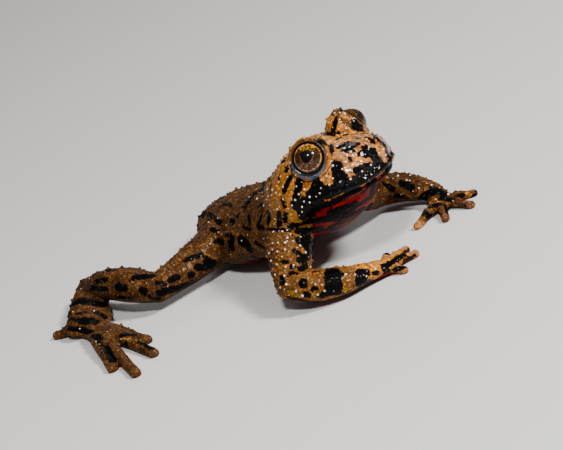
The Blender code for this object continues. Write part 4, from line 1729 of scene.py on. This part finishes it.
class NodeBench:
    """Adds nodes to one material."""

    MIX_INPUTS = (0, 6, 7)
    MIX_OUTPUT = 2

    def __init__(self, name: str) -> None:
        """Start a material that has only its Principled surface.

        Args:
            name: Name of the material.
        """
        self.material = bpy.data.materials.new(name)
        self.material.use_nodes = True
        self.tree = self.material.node_tree
        self.surface = self.tree.nodes["Principled BSDF"]

    def plug(self, socket: NodeSocket, value: object) -> None:
        """Link a wire to a socket, or set the socket's own value.

        Args:
            socket: The socket.
            value: A wire, a number or a colour.
        """
        if isinstance(value, Wire):
            self.tree.links.new(value.socket, socket)
        else:
            socket.default_value = value

    def add(self, kind: str, settings: dict, values: object, output: object = 0) -> Wire:
        """Add a node.

        Args:
            kind: Type of the node.
            settings: Its own properties, set first.
            values: Numbers, colours or wires, in the order of its sockets or by their names.
            output: Which output to return, by place or name.

        Returns:
            The output as a wire.
        """
        node = self.tree.nodes.new(kind)
        for key, value in settings.items():
            setattr(node, key, value)
        pairs = values.items() if isinstance(values, dict) else enumerate(values)
        for key, value in pairs:
            self.plug(node.inputs[key], value)
        return Wire(self, node.outputs[output])

    def value(self, name: str) -> Wire:
        """A number stored on the vertices."""
        return self.add("ShaderNodeAttribute", {"attribute_name": name}, {}, "Fac")

    def vector(self, name: str) -> Wire:
        """A vector stored on the vertices."""
        return self.add("ShaderNodeAttribute", {"attribute_name": name}, {}, "Vector")

    def place(self) -> Wire:
        """Place in the piece's own metres."""
        return self.add("ShaderNodeTexCoord", {}, {}, "Object")

    def parts(self, vector: Wire) -> tuple:
        """First two parts of a vector."""
        across = self.add("ShaderNodeSeparateXYZ", {}, (vector,))
        return across, Wire(self, across.socket.node.outputs[1])

    def noise(self, per_mm: float, detail: float = 3.0, roughness: float = 0.55) -> Wire:
        """Soft noise with the given number of lumps a millimetre."""
        shape = {"Scale": per_mm / MM, "Detail": detail, "Roughness": roughness}
        return self.add("ShaderNodeTexNoise", {}, {"Vector": self.place(), **shape})

    def cells(self, per_mm: float) -> Wire:
        """Distance within cells, with the given number of cells a millimetre."""
        values = {"Vector": self.place(), "Scale": per_mm / MM}
        return self.add("ShaderNodeTexVoronoi", {"feature": "F1"}, values)

    def mix(self, share: object, first: object, second: object) -> Wire:
        """Colour between two colours, by the share of the second."""
        values = dict(zip(self.MIX_INPUTS, (share, first, second)))
        return self.add("ShaderNodeMix", {"data_type": "RGBA"}, values, self.MIX_OUTPUT)

    def feed(self, **wires: object) -> None:
        """Set or link sockets of the surface.

        Args:
            wires: Numbers, colours or wires by the socket's name, with underscores for spaces.
        """
        for name, value in wires.items():
            self.plug(self.surface.inputs[name.replace("_", " ")], value)

    def bump(self, height: Wire, strength: float, distance: float) -> Wire:
        """Normal of a bumped surface."""
        values = {"Height": height, "Strength": strength, "Distance": distance}
        return self.add("ShaderNodeBump", {}, values)


@dataclass(frozen=True)
class SkinFinish:
    """Wet skin: golden brown above, red below, with black blotches and warts whose pale tips are partly
    painted highlight.
    """

    tan: tuple = (0.50, 0.23, 0.065, 1.0)
    rust: tuple = (0.26, 0.072, 0.005, 1.0)
    # Dark brown of the granules and mottling, also used for painted shade
    umber_and_shade: tuple = (0.022, 0.008, 0.0025, 1.0)
    grey: tuple = (0.22, 0.120, 0.060, 1.0)
    sand: tuple = (0.54, 0.27, 0.14, 1.0)
    amber: tuple = (0.95, 0.35, 0.03, 1.0)
    gold: tuple = (0.52, 0.27, 0.003, 1.0)
    orange: tuple = (0.80, 0.24, 0.008, 1.0)
    rosy: tuple = (0.34, 0.13, 0.06, 1.0)
    black: tuple = (0.0015, 0.0013, 0.0013, 1.0)
    # Red of the underside, deeper than its own red: partly painted shade under the body
    red: tuple = (0.13, 0.001, 0.003, 1.0)
    flame: tuple = (0.24, 0.004, 0.005, 1.0)
    # Pale tip of a wart: partly its own colour, partly painted highlight
    pearl_glint: tuple = (0.80, 0.66, 0.54, 1.0)
    grey_per_mm: float = 0.5
    grey_edge: tuple = (0.45, 0.65)
    rust_per_mm: float = 1.1
    rust_edge: tuple = (0.44, 0.6)
    rust_share: float = 0.8
    amber_share: float = 0.65
    sand_share: float = 0.55
    # Body darkened toward umber: partly its own browner tone, partly painted shade behind the head
    dull_and_shade_per_mm: float = 0.35
    dull_and_shade_edge: tuple = (0.45, 0.7)
    dull_and_shade_share: float = 0.69
    dull_and_shade_extra: float = 0.2
    wander_per_mm: float = 2.2
    wander_reach: float = 0.7
    granules_per_mm: float = 2.5
    granule_middle: float = 0.34
    granule_reach: float = 0.35
    mark_wander: float = 1.2
    orange_edge: tuple = (-0.3, 0.1)
    orange_share: float = 0.8
    halo_wander: float = 1.5
    halo_edge: tuple = (-0.45, -0.12)
    halo_share: float = 0.1
    halo_head_share: float = 0.5
    gold_edge: tuple = (-0.2, 0.08)
    gold_share: float = 0.85
    mottles_per_mm: float = 1.8
    mottle_edge: tuple = (0.5, 0.6)
    mottle_share: float = 0.6
    granule_edge: tuple = (0.22, 0.5)
    granule_share: float = 0.75
    granule_head_loss: float = 0.22
    # Darker skin next to the lids and along the crease round the eye bulge: painted shade
    lid_shade_edge: tuple = (2.5, 2.9)
    lid_shade_share: float = 0.75
    fold_radius: float = 2.95
    fold_width: float = 0.07
    fold_edge: tuple = (-0.06, 0.03)
    fold_shade_share: float = 0.8
    flames_per_mm: float = 0.5
    flame_edge: tuple = (0.4, 0.65)
    red_wander: float = 0.4
    red_edge: tuple = (0.42, 0.56)
    line_wander: float = 0.3
    line_edge: tuple = (-0.1, 0.0)
    ink_gain: float = 0.12
    ink_edge: tuple = (-0.05, 0.05)
    flecks_per_mm: float = 0.95
    fleck_radius: float = 0.17
    fleck_middle: float = 0.55
    fleck_reach: float = 0.5
    fleck_edge: tuple = (0.0, 0.03)
    roughness: float = 0.6
    ink_polish: float = 0.1
    specular: float = 0.02
    body_coat: float = 0.08
    head_coat: float = 0.34
    snout_coat: float = 0.5
    red_coat_loss: float = 0.8
    ink_coat_loss: float = 0.4
    coat_roughness: float = 0.06
    water_index: float = 1.33
    grain_middle: float = 0.6
    grain_height: float = 0.8
    pores_per_mm: float = 6.0
    pore_height: float = 0.3
    bump_strength: float = 0.6
    bump_distance: float = 0.00014
    pearl_glint_edge: tuple = (0.5, 1.05)
    wart_roughness: float = 0.4
    wart_specular: float = 0.15
    wart_coat: float = 0.1
    wart_head_coat: float = 0.7
    wart_coat_roughness: float = 0.07

    def ground(self, bench: NodeBench, patches: Wire) -> Wire:
        """Colour between the marks.

        Args:
            bench: Bench of the material.
            patches: Noise that parts the tan from the grey.

        Returns:
            Tan, grey and rust, with amber on the head, sand on the snout, and the body darkened toward
            umber: partly its own browner tone, partly painted shade that falls off behind the head.
        """
        head = bench.value("head")
        base = bench.mix(patches.above(*self.grey_edge), self.tan, self.grey)
        rusty = bench.noise(self.rust_per_mm, detail=4.0).above(*self.rust_edge)
        base = bench.mix(rusty * self.rust_share, base, self.rust)
        base = bench.mix(head * self.amber_share, base, self.amber)
        base = bench.mix(bench.value("snout") * self.sand_share, base, self.sand)
        # Everything behind the head darkens toward umber: partly the body's own browner tone, partly
        # painted shade
        clouds = bench.noise(self.dull_and_shade_per_mm, detail=2.0).above(*self.dull_and_shade_edge)
        dull_and_shade = (1.0 - head) * (self.dull_and_shade_share + clouds * self.dull_and_shade_extra)
        return bench.mix(dull_and_shade, base, self.umber_and_shade)

    def glowing(self, bench: NodeBench, base: Wire, wander: Wire, warm: Wire) -> Wire:
        """Orange and gold marks, and the orange edges of the black ones.

        Args:
            bench: Bench of the material.
            base: Colour of the ground.
            wander: Noise that frays the marks' edges, round 0.
            warm: Share of the orange marks.

        Returns:
            The ground with the marks on it.
        """
        base = bench.mix(warm * self.orange_share, base, self.orange)
        halo = (bench.value("black") + wander * self.halo_wander).above(*self.halo_edge)
        share = self.halo_share + bench.value("head") * self.halo_head_share
        base = bench.mix(halo * share, base, self.orange)
        yellow = (bench.value("gold") + wander * self.mark_wander).above(*self.gold_edge)
        return bench.mix(yellow * self.gold_share, base, self.gold)

    def darkened(self, bench: NodeBench, base: Wire, granule: Wire) -> Wire:
        """Mottled head, rosy tips of the digits, dark granules, and painted shade next to the lids and
        in the fold round each eye bulge.

        Args:
            bench: Bench of the material.
            base: Colour before them.
            granule: Distance within the granules' cells.

        Returns:
            The colour with them.
        """
        head, lid = bench.value("head"), bench.value("lid")
        mottle = bench.noise(self.mottles_per_mm, detail=4.0, roughness=0.65).above(*self.mottle_edge)
        base = bench.mix(mottle * head * self.mottle_share, base, self.umber_and_shade)
        base = bench.mix(bench.value("tip"), base, self.rosy)
        share = self.granule_share - head * self.granule_head_loss
        base = bench.mix(granule.above(*self.granule_edge) * share, base, self.umber_and_shade)
        # Painted shade in the hollow next to the lids and in the crease at the edge of the eye bulge
        fold_shade = (self.fold_width - (lid - self.fold_radius).size()).above(*self.fold_edge)
        shade = ((1.0 - lid.above(*self.lid_shade_edge)) * self.lid_shade_share).most(fold_shade * self.fold_shade_share)
        return bench.mix(shade, base, self.umber_and_shade)

    def colour(self, bench: NodeBench) -> tuple:
        """Colour of the skin.

        Args:
            bench: Bench of the material.

        Returns:
            The colour, and the share of black in it.
        """
        granule = bench.cells(self.granules_per_mm)
        patches = bench.noise(self.grey_per_mm, detail=3.0)
        wander = (bench.noise(self.wander_per_mm, detail=3.0, roughness=0.6) - 0.5) * self.wander_reach
        wander = wander + (self.granule_middle - granule) * self.granule_reach
        warm = (bench.value("orange") + wander * self.mark_wander).above(*self.orange_edge)
        base = self.glowing(bench, self.ground(bench, patches), wander, warm)
        base = self.darkened(bench, base, granule)
        flames = bench.noise(self.flames_per_mm, detail=2.0).above(*self.flame_edge)
        below = (bench.value("red") + wander * self.red_wander - warm).above(*self.red_edge)
        base = bench.mix(below, base, bench.mix(flames, self.red, self.flame))
        line = (bench.value("orange") + wander * self.line_wander).above(*self.line_edge)
        ink = (bench.value("black") + wander + self.ink_gain - line * below).above(*self.ink_edge)
        clump = (patches - self.fleck_middle) * self.fleck_reach
        fleck = (self.fleck_radius - bench.cells(self.flecks_per_mm) + clump).above(*self.fleck_edge)
        ink = ink.most(fleck * (1.0 - below))
        return bench.mix(ink, base, self.black), ink

    def skin(self) -> Material:
        """The skin itself, glossiest on the snout.

        Returns:
            The material.
        """
        bench = NodeBench("toad_skin")
        colour, ink = self.colour(bench)
        grain = (self.grain_middle - bench.cells(self.granules_per_mm)) * self.grain_height
        height = grain + bench.noise(self.pores_per_mm, detail=3.0) * self.pore_height
        coat = self.body_coat + bench.value("head") * self.head_coat
        coat = coat + bench.value("snout") * self.snout_coat
        coat = coat * (1.0 - bench.value("red") * self.red_coat_loss)
        bench.feed(
            Base_Color=colour,
            Roughness=self.roughness - ink * self.ink_polish,
            Specular_IOR_Level=self.specular,
            Coat_Weight=coat * (1.0 - ink * self.ink_coat_loss),
            Coat_Roughness=self.coat_roughness,
            Coat_IOR=self.water_index,
            Normal=bench.bump(height, self.bump_strength, self.bump_distance),
        )
        return bench.material

    def warts(self) -> Material:
        """The warts, with pale tips that are partly painted highlight.

        Returns:
            The material.
        """
        bench = NodeBench("toad_warts")
        colour, _ = self.colour(bench)
        tip = bench.value("pearl_glint").above(*self.pearl_glint_edge)
        bench.feed(
            Base_Color=bench.mix(tip, colour, self.pearl_glint),
            Roughness=self.wart_roughness,
            Specular_IOR_Level=self.wart_specular,
            Coat_Weight=self.wart_coat + bench.value("head") * self.wart_head_coat,
            Coat_Roughness=self.wart_coat_roughness,
            Coat_IOR=self.water_index,
        )
        return bench.material


@dataclass(frozen=True)
class EyeFinish:
    """Gold and copper iris, black three-cornered pupil and wet cornea.

    Distances are shares of the eyeball's radius, across its axis.
    """

    gold: tuple = (0.44, 0.18, 0.006, 1.0)
    copper: tuple = (0.28, 0.08, 0.02, 1.0)
    rim: tuple = (0.72, 0.27, 0.03, 1.0)
    dark: tuple = (0.004, 0.002, 0.001, 1.0)
    pupil_black: tuple = (0.0005, 0.0005, 0.0005, 1.0)
    threads_per_mm: float = 3.4
    fine_threads_per_mm: float = 7.5
    wobble_reach: float = 0.12
    gold_edge: tuple = (-0.05, 0.3)
    side_edge: tuple = (0.2, 0.6)
    side_height_edge: tuple = (0.25, 0.6)
    side_shade: float = 0.12
    fine_share: float = 0.4
    top_edge: tuple = (0.1, 0.5)
    top_light: float = 0.04
    crack_edge: tuple = (0.39, 0.47)
    crack_share: float = 0.96
    iris_radius: float = 0.735
    iris_fade: float = 0.02
    rim_width: float = 0.034
    rim_fade: tuple = (-0.015, 0.005)
    rim_wobble: float = 0.3
    rim_gap_edge: tuple = (0.47, 0.53)
    rim_gap_share: float = 0.85
    pupil_top: float = 0.30
    pupil_half_width: float = 0.43
    pupil_depth: float = 0.36
    pupil_bulge: float = 0.9
    pupil_slope: float = 0.8
    tail_slope: float = 3.0
    tail_drop: float = 0.04
    tail_radius: float = 0.08
    pupil_wobble: float = 0.5
    pupil_edge: tuple = (-0.01, 0.01)
    glint_rise: tuple = (-0.01, 0.012)
    glint_fall: tuple = (0.02, 0.038)
    glint_height_edge: tuple = (0.0, 0.2)
    glint_edge: tuple = (0.44, 0.52)
    glint_share: float = 0.15
    roughness: float = 0.5
    specular: float = 0.05
    cornea_roughness: float = 0.015
    water_index: float = 1.34
    lid_tan: tuple = (0.055, 0.026, 0.010, 1.0)
    lid_blue: tuple = (0.045, 0.057, 0.095, 1.0)
    lid_black: tuple = (0.002, 0.002, 0.002, 1.0)
    lid_noise_per_mm: float = 1.5
    lid_wander: float = 0.3
    lid_blue_edge: tuple = (0.1, 0.35)
    lid_inner_edge: tuple = (-0.2, 0.35)
    lid_roughness: float = 0.4
    lid_specular: float = 0.1
    lid_coat: float = 0.8
    lid_coat_roughness: float = 0.08
    lid_bumps_per_mm: float = 5.0
    lid_bump_strength: float = 0.3
    lid_bump_distance: float = 0.00008

    def iris(self, bench: NodeBench, across: Wire, rise: Wire, threads: Wire) -> Wire:
        """Gold above, copper below, with dark cracks and a bright rim.

        Args:
            bench: Bench of the material.
            across: Distance to the side of the eye's axis.
            rise: Distance above it.
            threads: Noise of the iris's threads.

        Returns:
            The colour of the iris and of the dark ball round it.
        """
        away = (across * across + rise * rise).root()
        wobble = (threads - 0.5) * self.wobble_reach
        fine = (bench.noise(self.fine_threads_per_mm, detail=2.0, roughness=0.6) - 0.5) * self.fine_share
        colour = bench.mix(rise.above(*self.gold_edge), self.copper, self.gold)
        level = 1.0 - rise.size().above(*self.side_height_edge)
        side = across.size().above(*self.side_edge) * level * self.side_shade
        top = rise.above(*self.top_edge) * self.top_light
        crack = (threads + fine + side - top).above(*self.crack_edge)
        colour = bench.mix(crack * self.crack_share, colour, self.dark)
        inner = self.iris_radius - self.rim_width
        start, full = (inner + fade for fade in self.rim_fade)
        ring = (away + wobble * self.rim_wobble).above(start, full)
        gap = threads.above(*self.rim_gap_edge) * self.rim_gap_share
        colour = bench.mix(ring * (1.0 - gap), colour, self.rim)
        outside = away.above(self.iris_radius, self.iris_radius + self.iris_fade)
        return bench.mix(outside, colour, self.dark)

    def lobes(self, across: Wire, rise: Wire) -> Wire:
        """Distance outside the pupil, which has two upper corners and a tail below.

        Args:
            across: Distance to the side of the eye's axis.
            rise: Distance above it.

        Returns:
            The distance, negative inside the pupil.
        """
        reach = self.pupil_top + self.pupil_depth
        width = ((rise + self.pupil_depth) * (1.0 / reach)).most(0.0).root() * self.pupil_half_width
        lid = rise - self.pupil_top + across * across * self.pupil_bulge
        body = lid.most((across.size() - width) * self.pupil_slope)
        low = (rise + self.pupil_depth + self.tail_drop).size()
        return body.least(across.size() * self.tail_slope + low - self.tail_radius)

    def ball(self) -> Material:
        """The eyeball.

        Returns:
            The material.
        """
        bench = NodeBench("toad_eye")
        across, rise = bench.parts(bench.vector("plane"))
        threads = bench.noise(self.threads_per_mm, detail=3.0, roughness=0.65)
        wobble = (threads - 0.5) * self.wobble_reach
        iris = self.iris(bench, across, rise, threads)
        lobes = self.lobes(across, rise)
        glint = lobes.above(*self.glint_rise) - lobes.above(*self.glint_fall)
        glint = glint * (1.0 - rise.above(*self.glint_height_edge))
        glint = glint * threads.above(*self.glint_edge) * self.glint_share
        iris = bench.mix(glint, iris, self.rim)
        pupil = 1.0 - (lobes + wobble * self.pupil_wobble).above(*self.pupil_edge)
        bench.feed(
            Base_Color=bench.mix(pupil, iris, self.pupil_black),
            Roughness=self.roughness,
            Specular_IOR_Level=self.specular,
            Coat_Weight=1.0,
            Coat_Roughness=self.cornea_roughness,
            Coat_IOR=self.water_index,
        )
        return bench.material

    def lids(self) -> Material:
        """The rim of skin round the eye: black inside, blue grey below, tan above.

        Returns:
            The material.
        """
        bench = NodeBench("toad_lids")
        wander = (bench.noise(self.lid_noise_per_mm, detail=2.0) - 0.5) * self.lid_wander
        lower = (bench.value("lower") + wander).above(*self.lid_blue_edge)
        inner = bench.value("inside").above(*self.lid_inner_edge)
        height = bench.noise(self.lid_bumps_per_mm, detail=2.0)
        bench.feed(
            Base_Color=bench.mix(inner, bench.mix(lower, self.lid_tan, self.lid_blue), self.lid_black),
            Roughness=self.lid_roughness,
            Specular_IOR_Level=self.lid_specular,
            Coat_Weight=self.lid_coat,
            Coat_Roughness=self.lid_coat_roughness,
            Coat_IOR=self.water_index,
            Normal=bench.bump(height, self.lid_bump_strength, self.lid_bump_distance),
        )
        return bench.material


# The far eye lies in shade in the photograph
SHADED_EYE = EyeFinish(gold=(0.09, 0.037, 0.002, 1.0), rim=(0.09, 0.034, 0.005, 1.0))


@dataclass(frozen=True)
class Studio:
    """Pale floor, soft lights and an even sky."""

    floor_size: float = 3.0
    floor_tone: tuple = (0.62, 0.605, 0.58, 1.0)
    floor_roughness: float = 0.65
    lights: tuple = (
        ("key", (0.10, -0.335, 0.325), 0.08, 3.3),
        ("fill", (-0.165, -0.205, 0.32), 0.05, 1.5),
        ("rim", (0.22, 0.30, 0.30), 0.16, 0.3),
    )
    sky_tone: tuple = (1.0, 0.98, 0.95, 1.0)
    sky_strength: float = 0.16

    def build(self) -> None:
        """Lay the floor and hang the lights."""
        shape = bmesh.new()
        bmesh.ops.create_grid(shape, x_segments=1, y_segments=1, size=self.floor_size / 2)
        floor = placed("studio_floor", shape)
        bench = NodeBench("studio_floor")
        bench.feed(Base_Color=self.floor_tone, Roughness=self.floor_roughness)
        floor.data.materials.append(bench.material)
        floor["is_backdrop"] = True
        for name, place, size, power in self.lights:
            self.light(name, place, size, power)
        world = bpy.data.worlds.new("studio_sky")
        world.use_nodes = True
        sky = world.node_tree.nodes["Background"]
        sky.inputs["Color"].default_value = self.sky_tone
        sky.inputs["Strength"].default_value = self.sky_strength
        bpy.context.scene.world = world

    @staticmethod
    def light(name: str, place: tuple, size: float, power: float) -> None:
        """Hang one square soft light that looks at the toad.

        Args:
            name: Its name.
            place: Where it hangs, in metres.
            size: Length of its sides, in metres.
            power: Its power, in watts.
        """
        data = bpy.data.lights.new(name, "AREA")
        data.size = size
        data.energy = power
        item = bpy.data.objects.new(name, data)
        item.location = place
        item.rotation_euler = (-Vector(place)).to_track_quat("-Z", "Y").to_euler()
        bpy.context.scene.collection.objects.link(item)


def frame_shift(item: Object, box: list) -> Vector:
    """Body millimetres to the frame's millimetres, from the middle of the part's box.

    Args:
        item: The toad's skin, in body millimetres.
        box: Two corners of the part's box, in metres.

    Returns:
        How far the skin has to move.
    """
    points = read_points(item.data)
    middle = 0.5 * (points.min(axis=0) + points.max(axis=0))
    target = 0.5 * (np.array(box[0]) + np.array(box[1])) / MM
    return Vector((target[0] - middle[0], target[1] - middle[1], 0.0))


def main() -> None:
    """Build the toad's looks and the studio round it."""
    logging.basicConfig(level=logging.INFO, format="%(name)s: %(message)s")
    cad_box = [list(corner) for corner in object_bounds()]
    camera = PhotoCamera()
    head, eye = Head(), EyeShape()
    skin = Skin(head, eye, Trunk(), Limbs())
    skin.melt()
    shift = frame_shift(skin.item, cad_box)
    log.info("skin melted: %d faces, %s to the frame", len(skin.item.data.polygons), shift)
    skin.carve(camera)
    markings = Markings(skin, camera)
    markings.measure()
    markings.scatter()
    warts = [Warts(skin, markings, region) for region in Region]
    for patch in warts:
        patch.build(camera)
    skin.thin()
    mesh = skin.item.data
    for name, values in markings.values(read_points(mesh), read_normals(mesh)).items():
        write_values(mesh, name, values)
    skin_finish, eye_finish = SkinFinish(), EyeFinish()
    in_metres(skin.item, shift)
    mesh.materials.append(skin_finish.skin())
    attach(skin.item, "root")
    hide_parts(*FLESH_NODES)
    wart_material = skin_finish.warts()
    for patch in warts:
        in_metres(patch.item, shift)
        patch.item.data.materials.append(wart_material)
        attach(patch.item, "root")
    ball_materials = {Side.RIGHT: eye_finish.ball(), Side.LEFT: SHADED_EYE.ball()}
    lid_material = eye_finish.lids()
    for side in Side:
        ball = Eyeball(head, eye, side)
        ball.build()
        in_metres(ball.item, shift)
        ball.item.data.materials.append(ball_materials[side])
        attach(ball.item, "root")
        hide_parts(f"{side.name.lower()}_eye")
        lids = Lids(head, eye, side)
        lids.build()
        in_metres(lids.item, shift)
        lids.item.data.materials.append(lid_material)
        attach(lids.item, "root")
    Studio().build()
    camera.build(shift)


if __name__ == "__main__":
    main()
